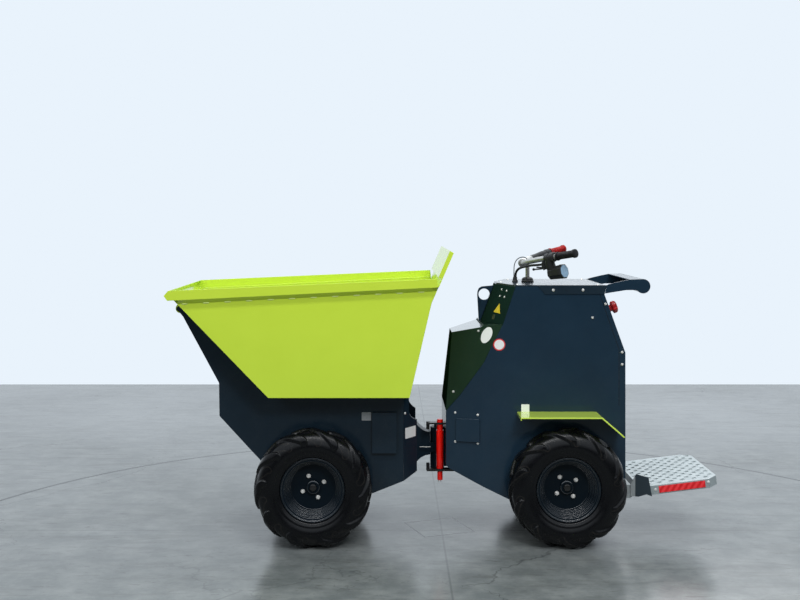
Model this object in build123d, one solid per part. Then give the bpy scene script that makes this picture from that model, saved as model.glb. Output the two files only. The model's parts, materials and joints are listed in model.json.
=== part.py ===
"""Site dumper: an articulated, four-wheel-drive, battery-powered ride-on mini dumper.

Millimetres, +Z up. -X is forward (the skip's end), +X is rearward (the step's end),
-Y is the machine's left side. Numbers are written from the centre pivot's line (X 0)
and the ground (Z 0); every piece is moved by SHIFT_X when it is written out, so that
the origin is the bottom centre of the whole machine.
"""
from build123d import *
import math
import os

os.makedirs("parts", exist_ok=True)

# ------------------------------------------------------------------ whole machine
SHIFT_X = -28.5
HALF_W = 400.0                 # skip rim
BODY_Y = 240.0                 # outer faces of both chassis units
PLATE = 8.0                    # chassis plate
SHEET = 4.0                    # skip, cover and mudguard sheet
TOUCH = 0.2                    # between pieces bolted or welded together
RUNNING = 0.3                  # between pieces that turn on each other
CUT = 5.0                      # how far a cutting tool runs past the face it leaves

# ------------------------------------------------------------------ wheels, 5.00-10
AXLE_X = 555.0
AXLE_Z = 257.5
TYRE_HALF = 74.5               # the lugs' half width
TYRE_CLEAR = 8.0               # between a tyre and the body's side
TRACK_Y = BODY_Y + TYRE_CLEAR + TYRE_HALF    # tyre mid-plane
TYRE_R = 257.5                 # to the lugs' tips
CARCASS_R = 245.0
FLANGE_R = 140.0               # rim flange
FLANGE_Y = 54.0                # flange's outer face from the wheel's mid-plane
FLANGE_T = 8.0
BARREL_R = 128.0               # the rim's bead seat
BOLT_CIRCLE_R = 50.0
BOLTS = 4
HUB_INNER_Y = -46.0            # the hub's inner end from the wheel's mid-plane
SECTORS = 30                   # flat faces round a tyre
LUGS = 10                      # on each side of the tread

# ------------------------------------------------------------------ skip and its hinge
HINGE_X, HINGE_Z = -1160.0, 1030.0
HINGE_PIN_R = 11.95
RIM_OVER = 25.0                # how far the rim band stands out from the skip's side
SKIP_Y = HALF_W - RIM_OVER
SEAT_GAP = 6.0                 # between the cradle and the skip
PANEL_TOP = (-1136.0, 1060.0)
PANEL_FOOT = (-746.0, 657.0)
FLOOR_END = (-134.0, 657.0)
REAR_KINK = (-39.0, 1066.0)
TUB_TOP_FRONT, TUB_TOP_REAR = (-1156.0, 1080.0), (-8.0, 1137.0)
HEADBOARD_TOP = (56.0, 1285.0)

# ------------------------------------------------------------------ tip cylinder
ROD_X, ROD_Z = -900.9, 751.9   # rod's eye under the slanted panel
BASE_X, BASE_Z = -640.0, 245.0 # cylinder's foot
BARREL_OUT_R, STAGE_R, ROD_R = 36.0, 28.5, 20.0
BARREL_L, STAGE_L = 400.0, 440.0
SLIDING = 0.05                 # radial play of the stages
PIN_R = 12.5

# ------------------------------------------------------------------ rear unit
REAR_X = 829.0                 # the housing's rear face
DECK_Z = 1137.0
DECK_T = 6.0
BAR_X = 423.0                  # handlebar stem
BAR_TURN = -4.8                # the bar's play at rest, degrees
BAR_R = 12.5
GLAND_X = 367.0
GLAND_TOP = 1160.0
PIVOT_PIN_R = 14.0
PIVOT_EYE_R = 26.0
LIFT_X, LIFT_Z, LIFT_R = 220.0, 1080.0, 26.0

# ------------------------------------------------------------------ step
FOLD_OUT, FOLD_Z = 33.0, 235.0 # step's hinge, from the rear face and the ground
FOLD_X = REAR_X + FOLD_OUT
STEP_Y = 245.0
STEP_L = 384.0
STEP_DEEP = 40.0
STEP_TILT = 7.0                # degrees, up at the rear


# ------------------------------------------------------------------ helpers
def V(x, y, z):
    return Vector(x, y, z)


def slab(pts, y0, y1):
    """A side profile of (X, Z) points, made thick from y0 to y1."""
    f = Face(Wire.make_polygon([V(x, y0, z) for x, z in pts], close=True))
    return Solid.extrude(f, V(0, y1 - y0, 0))


def plan(pts, z0, z1):
    """A plan outline of (X, Y) points, made tall from z0 to z1."""
    f = Face(Wire.make_polygon([V(x, y, z0) for x, y in pts], close=True))
    return Solid.extrude(f, V(0, 0, z1 - z0))


def block(x0, x1, y0, y1, z0, z1):
    return plan([(x0, y0), (x1, y0), (x1, y1), (x0, y1)], z0, z1)


def rod(a, b, r):
    """A round bar from a to b."""
    a, b = V(*a), V(*b)
    return Solid.make_cylinder(r, (b - a).length, Plane(origin=a, z_dir=b - a))


def cross_rod(x, z, half, r):
    """A round bar across the machine, as long to each side."""
    return rod((x, -half, z), (x, half, z), r)


def bar(points, r):
    """A bent round bar: straight lengths with a ball at each bend."""
    s = rod(points[0], points[1], r)
    for a, b in zip(points[1:], points[2:]):
        s = s + Pos(*a) * Sphere(r) + rod(a, b, r)
    return s


def beside(points, t):
    """The same open line, moved by t to its left."""
    out = []
    for i, (x, z) in enumerate(points):
        ends = [(a, b) for a, b in zip(points, points[1:]) if points[i] in (a, b)]
        dirs = [V(b[0] - a[0], 0, b[1] - a[1]).normalized() for a, b in ends]
        lefts = [V(-d.Z, 0, d.X) for d in dirs]
        mean = (lefts[0] + lefts[-1]).normalized()
        reach = t / mean.dot(lefts[0])
        out.append((x + mean.X * reach, z + mean.Z * reach))
    return out


def sheet(points, t, y0, y1):
    """A bent sheet: an open side line made t thick on its left, from y0 to y1."""
    return slab(points + beside(points, t)[::-1], y0, y1)


def beyond(p, n, size=2500.0):
    """Everything on the n side of a plane through p."""
    return Plane(origin=V(*p), z_dir=V(*n)) * Pos(0, 0, size / 2) * Box(size, size, size)


def sy(side, a, b):
    """Two Y limits in rising order on one side."""
    return min(side * a, side * b), max(side * a, side * b)


def joined(*items):
    s = items[0]
    for i in items[1:]:
        s = s + i
    return s


def put(name, *items):
    """Write one node; each item is one or more solids."""
    solids = [s for i in items for s in i.solids()]
    c = Compound(children=[Pos(SHIFT_X, 0, 0) * s for s in solids])
    c.label = name
    export_step(c, f"parts/{name}.step")
    print(name, len(solids))


# ------------------------------------------------------------------ wheels
# The tyre is a ring of flat faces whose flats, not corners, lie at the named radii,
# with bar lugs that sweep from the middle of the tread down to each shoulder in turn.
BEAD_Y = FLANGE_Y - FLANGE_T - RUNNING
SIDEWALL = [(142.5, 56.0), (185.0, TYRE_HALF - 2), (234.0, 64.0), (CARCASS_R, 42.0)]
LUG_TIP = [(TYRE_R, 42.0), (249.0, 62.0), (217.0, TYRE_HALF), (205.0, 60.0)]
LUG_PLAN = [(-9.0, 52.0), (10.0, 69.0), (42.0, 30.0), (85.0, -58.0), (57.0, -74.0), (18.0, 14.0)]
LUG_FOOT_R, LUG_OVER_R = 208.0, 275.0


def flat_ring(half_section):
    """A ring about Y of flat faces, alike on both sides, from (radius, Y) points."""
    corner = 1 / math.cos(math.pi / SECTORS)
    section = [(r * corner, y) for r, y in half_section]
    section = section + [(r, -y) for r, y in section[::-1]]

    def at(i, point):
        a = 2 * math.pi * i / SECTORS
        return V(point[0] * math.cos(a), point[1], point[0] * math.sin(a))

    faces = []
    for i in range(SECTORS):
        for p, q in zip(section, section[1:] + section[:1]):
            corners = [at(i, p), at(i + 1, p), at(i + 1, q), at(i, q)]
            faces.append(Face(Wire.make_polygon(corners, close=True)))
    return Solid(Shell(faces))


def lug(side, turn, drum):
    """One bar lug: its plan, (Y, distance round the tread), cut to the tread's height."""
    corners = [V(LUG_FOOT_R, side * y, t) for y, t in LUG_PLAN]
    prism = Solid.extrude(Face(Wire.make_polygon(corners, close=True)), V(LUG_OVER_R - LUG_FOOT_R, 0, 0))
    return (Rot(0, -turn, 0) * prism).intersect(drum).solids()[0]


def tyre():
    carcass = flat_ring([(BARREL_R + RUNNING, BEAD_Y), (FLANGE_R + RUNNING, BEAD_Y)] + SIDEWALL)
    drum = flat_ring(LUG_TIP[::-1])
    pitch = 360 / LUGS
    lugs = []
    for side, first in ((-1, -pitch / 4), (1, pitch / 4)):
        one = lug(side, first, drum)
        lugs += [Rot(0, pitch * i, 0) * one for i in range(LUGS)]
    return carcass.fuse(*lugs).clean().solids()[0]


RIM_STEPS = [  # radius, Y: the dish steps out to the flange
    (24.0, -15.0), (101.0, -15.0), (101.0, 3.0), (109.0, 3.0), (109.0, 18.0), (116.0, 18.0),
    (116.0, 33.0), (123.0, 33.0), (123.0, 47.0), (134.0, 47.0), (134.0, FLANGE_Y),
]
RIM_BACK = [(134.0, -FLANGE_Y), (134.0, -49.0), (121.0, -49.0), (121.0, -24.0), (24.0, -24.0)]
HUB_R, HUB_FACE_Y = 29.0, 0.0
NUT_R, NUT_Y = 15.0, 12.0
STUB_R, STUB_Y = 9.0, 17.0
BOLT_R, BOLT_IN_Y, BOLT_OUT_Y = 9.0, -20.0, -6.0


def rim():
    seat = [(FLANGE_R, FLANGE_Y), (FLANGE_R, FLANGE_Y - FLANGE_T), (BARREL_R, FLANGE_Y - FLANGE_T)]
    section = RIM_STEPS + seat + [(r, -y) for r, y in seat[::-1]] + RIM_BACK
    face = Face(Wire.make_polygon([V(r, y, 0) for r, y in section], close=True))
    dish = Solid.revolve(face, 360, Axis.Y)
    hub = rod((0, HUB_INNER_Y, 0), (0, HUB_FACE_Y, 0), HUB_R)
    nut = Plane(origin=(0, HUB_FACE_Y, 0), z_dir=(0, 1, 0)) * extrude(RegularPolygon(NUT_R, 6), NUT_Y - HUB_FACE_Y)
    stub = rod((0, HUB_FACE_Y, 0), (0, STUB_Y, 0), STUB_R)
    bolts = []
    for i in range(BOLTS):
        a = 2 * math.pi * i / BOLTS
        x, z = BOLT_CIRCLE_R * math.cos(a), BOLT_CIRCLE_R * math.sin(a)
        bolts.append(rod((x, BOLT_IN_Y, z), (x, BOLT_OUT_Y, z), BOLT_R))
    return joined(dish, hub, nut, stub, *bolts)


WHEELS = [  # name, X, side, how far the rim's bolts stand turned
    ("front_left", -AXLE_X, -1, 24.0),
    ("front_right", -AXLE_X, 1, 24.0),
    ("rear_left", AXLE_X, -1, 35.0),
    ("rear_right", AXLE_X, 1, 35.0),
]
TYRE, RIM = tyre(), rim()
for name, x, side, turn in WHEELS:
    place = Pos(x, side * TRACK_Y, AXLE_Z)
    put("tyre_" + name, place * TYRE)
    put("rim_" + name, place * Rot(0, 0, 0 if side > 0 else 180) * Rot(0, -side * turn, 0) * RIM)

# ------------------------------------------------------------------ axles
AXLE_R = 35.0
COLLAR_R, COLLAR_Y = 44.0, 262.0
COLLAR_IN_Y = 228.0
SPIGOT_R = 27.0
MOTOR_R = 62.0
AXLE_HOLE_R = COLLAR_R + 0.4
MOTORS = [  # node, axle's X, motor's ends
    ("front_axle", -AXLE_X, -560.0, -360.0),
    ("rear_axle", AXLE_X, 440.0, 670.0),
]
SPIGOT_Y = TRACK_Y + HUB_INNER_Y - RUNNING


def axle(x, motor_x0, motor_x1):
    """A beam with a collar in each side plate, a spigot for each hub, and its motor."""
    beam = cross_rod(x, AXLE_Z, COLLAR_IN_Y + CUT, AXLE_R)
    ends = []
    for s in (-1, 1):
        ends.append(rod((x, s * COLLAR_IN_Y, AXLE_Z), (x, s * COLLAR_Y, AXLE_Z), COLLAR_R))
        ends.append(rod((x, s * COLLAR_Y, AXLE_Z), (x, s * SPIGOT_Y, AXLE_Z), SPIGOT_R))
    return joined(beam, *ends, rod((motor_x0, 0, AXLE_Z), (motor_x1, 0, AXLE_Z), MOTOR_R))


for node, x, motor_x0, motor_x1 in MOTORS:
    put(node, axle(x, motor_x0, motor_x1))


def axle_hole(x, side):
    y0, y1 = sy(side, BODY_Y - PLATE - CUT, BODY_Y + CUT)
    return rod((x, y0, AXLE_Z), (x, y1, AXLE_Z), AXLE_HOLE_R)


# ------------------------------------------------------------------ front chassis
# Two side plates cradle the skip; a bent nose sheet and cross plates join them.
CRADLE_Z = FLOOR_END[1] - SEAT_GAP
CRADLE_LINE = beside([PANEL_TOP, PANEL_FOOT, FLOOR_END], -SEAT_GAP)
TAPER_X = -159.0               # where the side plates end and the neck begins
NOSE_TIP = [(-1171.0, 1035.0), (-1153.0, 1048.0), (-1132.0, 1040.0), (-1131.3, 1046.7)]
NOSE_LINE = [(-1140.0, 997.0), (-980.0, 702.0), (-978.0, 555.0), (-851.0, 417.0), (-639.0, 190.0)]
BELLY = [(TAPER_X, 265.0), (-303.0, 208.0), (-350.0, 190.0)]
INNER_Y = BODY_Y - PLATE - TOUCH
side_profile = NOSE_TIP + [CRADLE_LINE[1], (TAPER_X, CRADLE_Z)] + BELLY + NOSE_LINE[::-1]
for node, side in (("chassis_side_left", -1), ("chassis_side_right", 1)):
    plate = slab(side_profile, *sy(side, BODY_Y - PLATE, BODY_Y))
    put(node, plate - axle_hole(-AXLE_X, side))

NOSE_SHEET = 6.0
NOSE_SHEET_LINE = [(-1138.0, 993.5), (-980.0, 702.0), (-978.0, 555.0), (-851.0, 417.0), (-655.0, 206.9)]
put("nose_plate", sheet(NOSE_SHEET_LINE, NOSE_SHEET, -INNER_Y, INNER_Y))

# The neck tapers from the side plates to the tongue; its rear edge curves in on top.
NECK_X = -97.0
NECK_Y = 153.0
NECK_PLATE = 12.0
NECK_TOP, NECK_BELLY = 523.0, 290.0
NECK_CURVE = [(-108.0, 528.0), (-122.0, 540.0), (-131.0, 555.0), (-134.0, 572.0)]
NECK_ROOT = TAPER_X + TOUCH
neck_profile = [(NECK_ROOT, BELLY[0][1]), (NECK_X, NECK_BELLY), (NECK_X, NECK_TOP)] + NECK_CURVE \
    + [(NECK_CURVE[-1][0], CRADLE_Z), (NECK_ROOT, CRADLE_Z)]
neck = []
for s in (-1, 1):
    outline = [(NECK_ROOT, s * BODY_Y), (NECK_X, s * NECK_Y),
               (NECK_X, s * (NECK_Y - NECK_PLATE)), (NECK_ROOT, s * (BODY_Y - NECK_PLATE))]
    neck += plan(outline, 0, CRADLE_Z + CUT).intersect(slab(neck_profile, -BODY_Y, BODY_Y)).solids()
CROSS_PLATES = [  # X of both faces, Z of both edges
    (-172.0, -164.0, 262.0, 640.0),
    (-330.0, -322.0, 205.0, 420.0),
]
cross = [block(x0, x1, -INNER_Y, INNER_Y, z0, z1) for x0, x1, z0, z1 in CROSS_PLATES]

# The cylinder's foot: two ears on the nose sheet and the pin through them.
EAR_IN, EAR_OUT = 38.0, 48.0
EAR = [(-650.0, 212.2), (-612.0, 228.0), (-612.0, 262.0), (-640.0, 274.0), (-690.0, 330.0), (-735.0, 302.5)]
EYE_R = 26.0
PIN_HEAD = 4.0
foot = cross_rod(BASE_X, BASE_Z, EAR_OUT + PIN_HEAD, PIN_R - SLIDING)
for s in (-1, 1):
    y0, y1 = sy(s, EAR_IN, EAR_OUT)
    foot = foot + slab(EAR, y0, y1) + rod((BASE_X, y0, BASE_Z), (BASE_X, y1, BASE_Z), EYE_R)
put("crossmembers", *neck, *cross, foot)

put("hinge_pin", cross_rod(HINGE_X, HINGE_Z, INNER_Y, HINGE_PIN_R))

# The tongue tapers to the pivot's eye; its top edge sweeps down and its under edge up.
TONGUE_ROOT = CROSS_PLATES[0][1] + TOUCH
TONGUE_PLAN = [(TONGUE_ROOT, 70.0), (-60.0, 42.0), (-33.0, 36.0)]
TONGUE_TOP = [(-42.0, 445.0), (-58.0, 449.0), (-72.0, 458.0), (-84.0, 469.0), (NECK_X, 482.0)]
TONGUE_UNDER = [(NECK_X, 308.0), (-77.0, 326.0), (-58.0, 335.0), (-33.0, 339.0)]
EYE_Z0, EYE_Z1 = 346.0, 390.0
EYE_SLOT_R = 38.5              # room for the fork's ears round the pin
tongue = plan(TONGUE_PLAN + [(x, -y) for x, y in TONGUE_PLAN[::-1]], TONGUE_UNDER[0][1], TONGUE_TOP[-1][1])
tongue_side = [(TONGUE_ROOT, TONGUE_UNDER[0][1])] + TONGUE_UNDER + [(TONGUE_PLAN[-1][0], TONGUE_TOP[0][1])] \
    + TONGUE_TOP + [(TONGUE_ROOT, TONGUE_TOP[-1][1])]
tongue = tongue.intersect(slab(tongue_side, -BODY_Y, BODY_Y)).solids()[0]
tongue = tongue + block(TONGUE_TOP[0][0], 0, -PIVOT_EYE_R, PIVOT_EYE_R, EYE_Z0, EYE_Z1)
tongue = tongue + rod((0, 0, EYE_Z0), (0, 0, EYE_Z1), PIVOT_EYE_R)
for z0, z1 in ((0, EYE_Z0 - 0.5), (EYE_Z1 + 0.5, CRADLE_Z)):
    tongue = tongue - rod((0, 0, z0), (0, 0, z1), EYE_SLOT_R)
put("tongue", tongue - rod((0, 0, 0), (0, 0, CRADLE_Z), PIVOT_PIN_R + SLIDING))

PUMP_X0, PUMP_X1, PUMP_Z0, PUMP_Z1 = -299.0, -190.0, 392.0, 572.0
PUMP_DEEP = 18.0
put("pump_cover", block(PUMP_X0, PUMP_X1, -BODY_Y - PUMP_DEEP, -BODY_Y - TOUCH, PUMP_Z0, PUMP_Z1))

# ------------------------------------------------------------------ skip
# An open tub of sheet, a folded band round its mouth and a leaning headboard behind.
OPEN_UP = 60.0                 # how far the hollow runs on above the mouth
tub_line = [TUB_TOP_FRONT, PANEL_FOOT, FLOOR_END, REAR_KINK, TUB_TOP_REAR]
tub_in = beside(tub_line, SHEET)
front_run = (V(*tub_in[0], 0) - V(*tub_in[1], 0)).normalized() * OPEN_UP
rear_run = (V(*tub_in[4], 0) - V(*tub_in[3], 0)).normalized() * OPEN_UP
hollow = [(tub_in[0][0] + front_run.X, tub_in[0][1] + front_run.Y)] + tub_in[1:4] \
    + [(tub_in[4][0] + rear_run.X, tub_in[4][1] + rear_run.Y)]
IN_Y = SKIP_Y - SHEET
put("skip_tub", slab(tub_line, -SKIP_Y, SKIP_Y) - slab(hollow, -IN_Y, IN_Y))

RIM_LINE = [(-1178.0, 1079.2), (-12.8, 1137.1), (-17.0, 1173.0), (-1174.0, 1122.0), (-1193.0, 1100.0)]
RIM_HOLLOW = [(-1172.0, 1083.5), (0.0, 1141.7), (20.0, 1230.0), (-1174.0, 1180.0), (-1171.0, 1120.0), (-1187.0, 1101.0)]
RIM_MOUTH = [(-1153.0, 1060.0), (-1153.0, 1092.0), (40.0, 1230.0), (-12.5, 1110.0)]
band = slab(RIM_LINE, -HALF_W, HALF_W) - slab(RIM_HOLLOW, SHEET - HALF_W, HALF_W - SHEET)
band = band - slab(RIM_MOUTH, -IN_Y, IN_Y)
RIM_SKIRT = 18.0               # under the band the sheet slants in to the skip's side
SKIRT_X = (-1134.0, -18.0)
rim_foot, rim_end = RIM_LINE[0], RIM_LINE[1]
rim_rise = (rim_end[1] - rim_foot[1]) / (rim_end[0] - rim_foot[0])
z0, z1 = [rim_foot[1] + rim_rise * (x - rim_foot[0]) for x in SKIRT_X]
for s in (-1, 1):
    skirt = [V(SKIRT_X[0], s * HALF_W, z0), V(SKIRT_X[0], s * (SKIP_Y + TOUCH), z0 - RIM_SKIRT),
             V(SKIRT_X[0], s * (SKIP_Y + TOUCH), z0 + 1), V(SKIRT_X[0], s * HALF_W, z0 + 1)]
    run = V(SKIRT_X[1] - SKIRT_X[0], 0, z1 - z0)
    band = band + Solid.extrude(Face(Wire.make_polygon(skirt, close=True)), run)
put("skip_rim", band)

FLANGE_D = 19.0                # the headboard's edges, turned to the rear
FLANGE_FOOT = 38.0             # where it starts above the band; a foot joins it to the tub
HB_LOW = (TUB_TOP_REAR[0], TUB_TOP_REAR[1] + 0.4)
hb_run = V(HEADBOARD_TOP[0] - HB_LOW[0], HEADBOARD_TOP[1] - HB_LOW[1], 0)
HB_L = hb_run.length
hb_run = hb_run.normalized()


def hb(along, ahead):
    """A point on the headboard: along from its low edge, ahead of its rear face."""
    return (HB_LOW[0] + along * hb_run.X - ahead * hb_run.Y, HB_LOW[1] + along * hb_run.Y + ahead * hb_run.X)


board = slab([hb(0, 0), hb(HB_L, 0), hb(HB_L + 2, FLANGE_D), hb(FLANGE_FOOT, FLANGE_D),
              hb(FLANGE_FOOT, SHEET), hb(0, SHEET)], -HALF_W, HALF_W)
behind = slab([hb(FLANGE_FOOT + SHEET, -CUT), hb(HB_L - SHEET, -CUT), hb(HB_L - SHEET, FLANGE_D - SHEET),
               hb(FLANGE_FOOT + SHEET, FLANGE_D - SHEET)], SHEET - HALF_W, HALF_W - SHEET)
put("headboard", board - behind)

panel_run = V(PANEL_FOOT[0] - PANEL_TOP[0], PANEL_FOOT[1] - PANEL_TOP[1], 0).normalized()
HINGE_DROP = 37.6              # hinge axis to the slanted panel, along its normal


def near_hinge(along, up):
    """A point from the hinge: along the slanted panel, down and rearward, and up towards it."""
    return (HINGE_X + along * panel_run.X - up * panel_run.Y, HINGE_Z + along * panel_run.Y + up * panel_run.X)


HINGE_LUGS = [-190.0, -70.0, 70.0, 190.0]
HINGE_LUG = [(-16.0, 0.0), (-16.0, HINGE_DROP), (95.0, HINGE_DROP), (16.0, -8.0)]
HINGE_TUBE_R, HINGE_EYE_R = 19.0, 21.0
LUG_HALF, EYE_HALF = 5.0, 8.0
TUBE_HALF = HINGE_LUGS[-1] + 15.0
hinge_set = cross_rod(HINGE_X, HINGE_Z, TUBE_HALF, HINGE_TUBE_R)
for y in HINGE_LUGS:
    hinge_set = hinge_set + slab([near_hinge(*p) for p in HINGE_LUG], y - LUG_HALF, y + LUG_HALF)
    hinge_set = hinge_set + rod((HINGE_X, y - EYE_HALF, HINGE_Z), (HINGE_X, y + EYE_HALF, HINGE_Z), HINGE_EYE_R)
hinge_set = hinge_set - cross_rod(HINGE_X, HINGE_Z, TUBE_HALF + CUT, HINGE_PIN_R + SLIDING)

ROD_LUG_IN, ROD_LUG_OUT = 30.0, 40.0
ROD_LUG_R, ROD_HEAD_R, ROD_HEAD = 24.0, 14.0, 7.0
ROD_LUG_WIDE, ROD_LUG_NARROW, ROD_LUG_BELOW = 60.0, 18.0, 8.0
rod_at = V(ROD_X - HINGE_X, ROD_Z - HINGE_Z, 0)
rod_along = rod_at.dot(panel_run)
rod_up = rod_at.Y * panel_run.X - rod_at.X * panel_run.Y
rod_lug = [near_hinge(rod_along - ROD_LUG_WIDE, HINGE_DROP), near_hinge(rod_along + ROD_LUG_WIDE, HINGE_DROP),
           near_hinge(rod_along + ROD_LUG_NARROW, rod_up - ROD_LUG_BELOW),
           near_hinge(rod_along - ROD_LUG_NARROW, rod_up - ROD_LUG_BELOW)]
rod_lugs = []
for s in (-1, 1):
    ear = slab(rod_lug, *sy(s, ROD_LUG_IN, ROD_LUG_OUT))
    boss = rod((ROD_X, s * ROD_LUG_IN, ROD_Z), (ROD_X, s * ROD_LUG_OUT, ROD_Z), ROD_LUG_R)
    head = rod((ROD_X, s * ROD_LUG_OUT, ROD_Z), (ROD_X, s * (ROD_LUG_OUT + ROD_HEAD), ROD_Z), ROD_HEAD_R)
    rod_lugs.append(joined(ear, boss, head))
put("skip_lugs", hinge_set, *rod_lugs)

# ------------------------------------------------------------------ tip cylinder
# A two-stage telescopic cylinder from the foot's pin to the eye under the skip.
cyl_run = V(ROD_X - BASE_X, 0, ROD_Z - BASE_Z)
CYL = cyl_run.length
cyl_run = cyl_run.normalized()
FOOT_EYE_HALF, FOOT_NECK_R = 34.0, 24.0
FOOT_NECK, BARREL_FOOT, BORE_FOOT = 12.0, 30.0, 70.0
STAGE_FOOT, STAGE_BORE_FOOT, ROD_FOOT = 120.0, 150.0, 190.0
ROD_EYE_HALF, ROD_EYE_R, ROD_EYE_NECK = 24.0, 25.0, 18.0


def on_cyl(d):
    return (BASE_X + d * cyl_run.X, 0, BASE_Z + d * cyl_run.Z)


barrel = joined(rod(on_cyl(BARREL_FOOT), on_cyl(BARREL_L), BARREL_OUT_R),
                cross_rod(BASE_X, BASE_Z, FOOT_EYE_HALF, EYE_R),
                rod(on_cyl(FOOT_NECK), on_cyl(BARREL_FOOT + CUT), FOOT_NECK_R))
barrel = barrel - rod(on_cyl(BORE_FOOT), on_cyl(BARREL_L + CUT), STAGE_R + SLIDING)
put("tip_barrel", barrel - cross_rod(BASE_X, BASE_Z, FOOT_EYE_HALF + CUT, PIN_R))
stage = rod(on_cyl(STAGE_FOOT), on_cyl(STAGE_L), STAGE_R)
put("tip_stage", stage - rod(on_cyl(STAGE_BORE_FOOT), on_cyl(STAGE_L + CUT), ROD_R + SLIDING))
put("tip_rod", rod(on_cyl(ROD_FOOT), on_cyl(CYL - ROD_EYE_NECK), ROD_R)
    + cross_rod(ROD_X, ROD_Z, ROD_EYE_HALF, ROD_EYE_R))

# ------------------------------------------------------------------ rear unit
# A tapered housing, solid but for the battery's pocket and the axle's channel.
SPLIT = [(32.0, 570.0), (91.0, 638.0), (199.0, 792.0), (233.0, 864.0), (284.0, 962.0)]
UNDER_DECK = DECK_Z - DECK_T - TOUCH
DECK_FRONT_X, REAR_TOP_X, REAR_KNEE_Z, REAR_BASE_Z = 340.0, REAR_X - 106.0, 836.0, 179.0
BELLY_X = 319.0
FRONT_X, FRONT_FOOT, FRONT_Y = 32.0, [(43.0, 314.0), (32.0, 330.0)], 197.0
SHOULDER_X = 193.0             # where the taper reaches the full width
body_profile = SPLIT + [(DECK_FRONT_X, UNDER_DECK), (REAR_TOP_X, UNDER_DECK), (REAR_X, REAR_KNEE_Z),
                        (REAR_X, REAR_BASE_Z), (BELLY_X, REAR_BASE_Z)] + FRONT_FOOT
rear_plan = [(FRONT_X, FRONT_Y), (SHOULDER_X, BODY_Y), (REAR_X, BODY_Y)]
rear_plan = rear_plan + [(x, -y) for x, y in rear_plan[::-1]]
CHANNEL = (435.0, 675.0, 330.0)      # X of both ends and Z of the top, round the axle
PACK_X0, PACK_X1, PACK_Y, PACK_Z0, PACK_Z1 = 330.0, 700.0, 190.0, 420.0, 760.0
PACK_PLAY = 2.0
rear_body = plan(rear_plan, 0, DECK_Z).intersect(slab(body_profile, -BODY_Y, BODY_Y)).solids()[0]
rear_body = rear_body - block(CHANNEL[0], CHANNEL[1], PLATE - BODY_Y, BODY_Y - PLATE, 0, CHANNEL[2])
for s in (-1, 1):
    rear_body = rear_body - axle_hole(AXLE_X, s)
put("rear_body", rear_body - block(PACK_X0, PACK_X1, -PACK_Y, PACK_Y, PACK_Z0, PACK_Z1))
put("battery_pack", block(PACK_X0 + PACK_PLAY, PACK_X1 - PACK_PLAY, PACK_PLAY - PACK_Y, PACK_Y - PACK_PLAY,
                          PACK_Z0, PACK_Z1 - PACK_PLAY))

# The front cover has two panels, both with their corners bevelled.
BEVEL_AT = (284.0, 962.0)
LOWER = [(31.5, 571.0), (64.0, 912.0), (196.0, 945.0), (202.0, 953.0), (283.5, 962.0),
         (232.7, 864.3), (198.7, 792.3), (90.7, 638.3)]
UPPER = [(202.0, 953.4), (269.6, UNDER_DECK), (339.5, UNDER_DECK), (283.8, 962.4)]
COVER_PLAN = [(20.0, 194.0), (SHOULDER_X, BODY_Y), (300.0, BODY_Y)]
cover_plan = COVER_PLAN + [(x, -y) for x, y in COVER_PLAN[::-1]]
lower = plan(cover_plan, 0, DECK_Z).intersect(slab(LOWER, -BODY_Y, BODY_Y)).solids()[0]
upper = slab(UPPER, -BODY_Y, BODY_Y)
for s in (-1, 1):
    corner = (BEVEL_AT[0], s * BODY_Y, BEVEL_AT[1])
    lower = lower - beyond(corner, (-0.583, s * 0.759, 0.291))
    upper = upper - beyond(corner, (-0.900, s * 0.327, 0.288))
put("front_cover", lower, upper)

DECK_PLAN = [(272.0, 50.0), (DECK_FRONT_X, BODY_Y), (REAR_X - 91, BODY_Y)]
SKIRT = [(440.0, DECK_Z), (470.0, 1097.0), (REAR_X - 93, 1097.0), (REAR_X - 84, DECK_Z)]
STEM_R = 10.0
deck = plan(DECK_PLAN + [(x, -y) for x, y in DECK_PLAN[::-1]], DECK_Z - DECK_T, DECK_Z)
for s in (-1, 1):
    deck = deck + slab(SKIRT, *sy(s, BODY_Y, BODY_Y + SHEET))
put("top_deck", deck - rod((BAR_X, 0, DECK_Z - 2 * DECK_T), (BAR_X, 0, DECK_Z + CUT), STEM_R + 1))

ROLL = [  # X from the rear face, and Z
    (20.0, 1162.0), (82.0, 1164.0), (100.0, 1148.0), (109.0, 1129.0), (102.0, 1112.0), (82.0, 1100.0),
]
ARM = [(-83.5, DECK_Z), (-78.0, 1140.0), (-16.0, 1155.0)] + ROLL + [(49.0, 1115.0), (2.0, 1115.0), (-91.0, 1100.0)]
ROLL_SHEET = 5.0
RAIL_SEAT = (-129.0, -69.0)    # where the arms stop above the deck
roll_line, arm_line = [[(REAR_X + x, z) for x, z in points] for points in (ROLL, ARM)]
arms = [slab(arm_line, *sy(s, BODY_Y - SHEET, BODY_Y + SHEET)) for s in (-1, 1)]
roll = sheet(roll_line, -ROLL_SHEET, SHEET - 1 - BODY_Y, BODY_Y - SHEET + 1)
under = block(REAR_X + RAIL_SEAT[0], REAR_X + RAIL_SEAT[1], -BODY_Y, BODY_Y, REAR_KNEE_Z, DECK_Z - TOUCH / 2)
put("rear_rail", joined(roll, *arms) - under)

LIFT_PLATE = [(194.5, 954.0), (201.7, 954.0), (265.7, 1121.5), (208.0, 1116.0), (195.0, 1108.0),
              (189.0, 1092.0), (188.0, 1075.0)]
LIFT_HALF = 6.0
put("lifting_eye", slab(LIFT_PLATE, -LIFT_HALF, LIFT_HALF) - cross_rod(LIFT_X, LIFT_Z, LIFT_HALF + CUT, LIFT_R))

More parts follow.
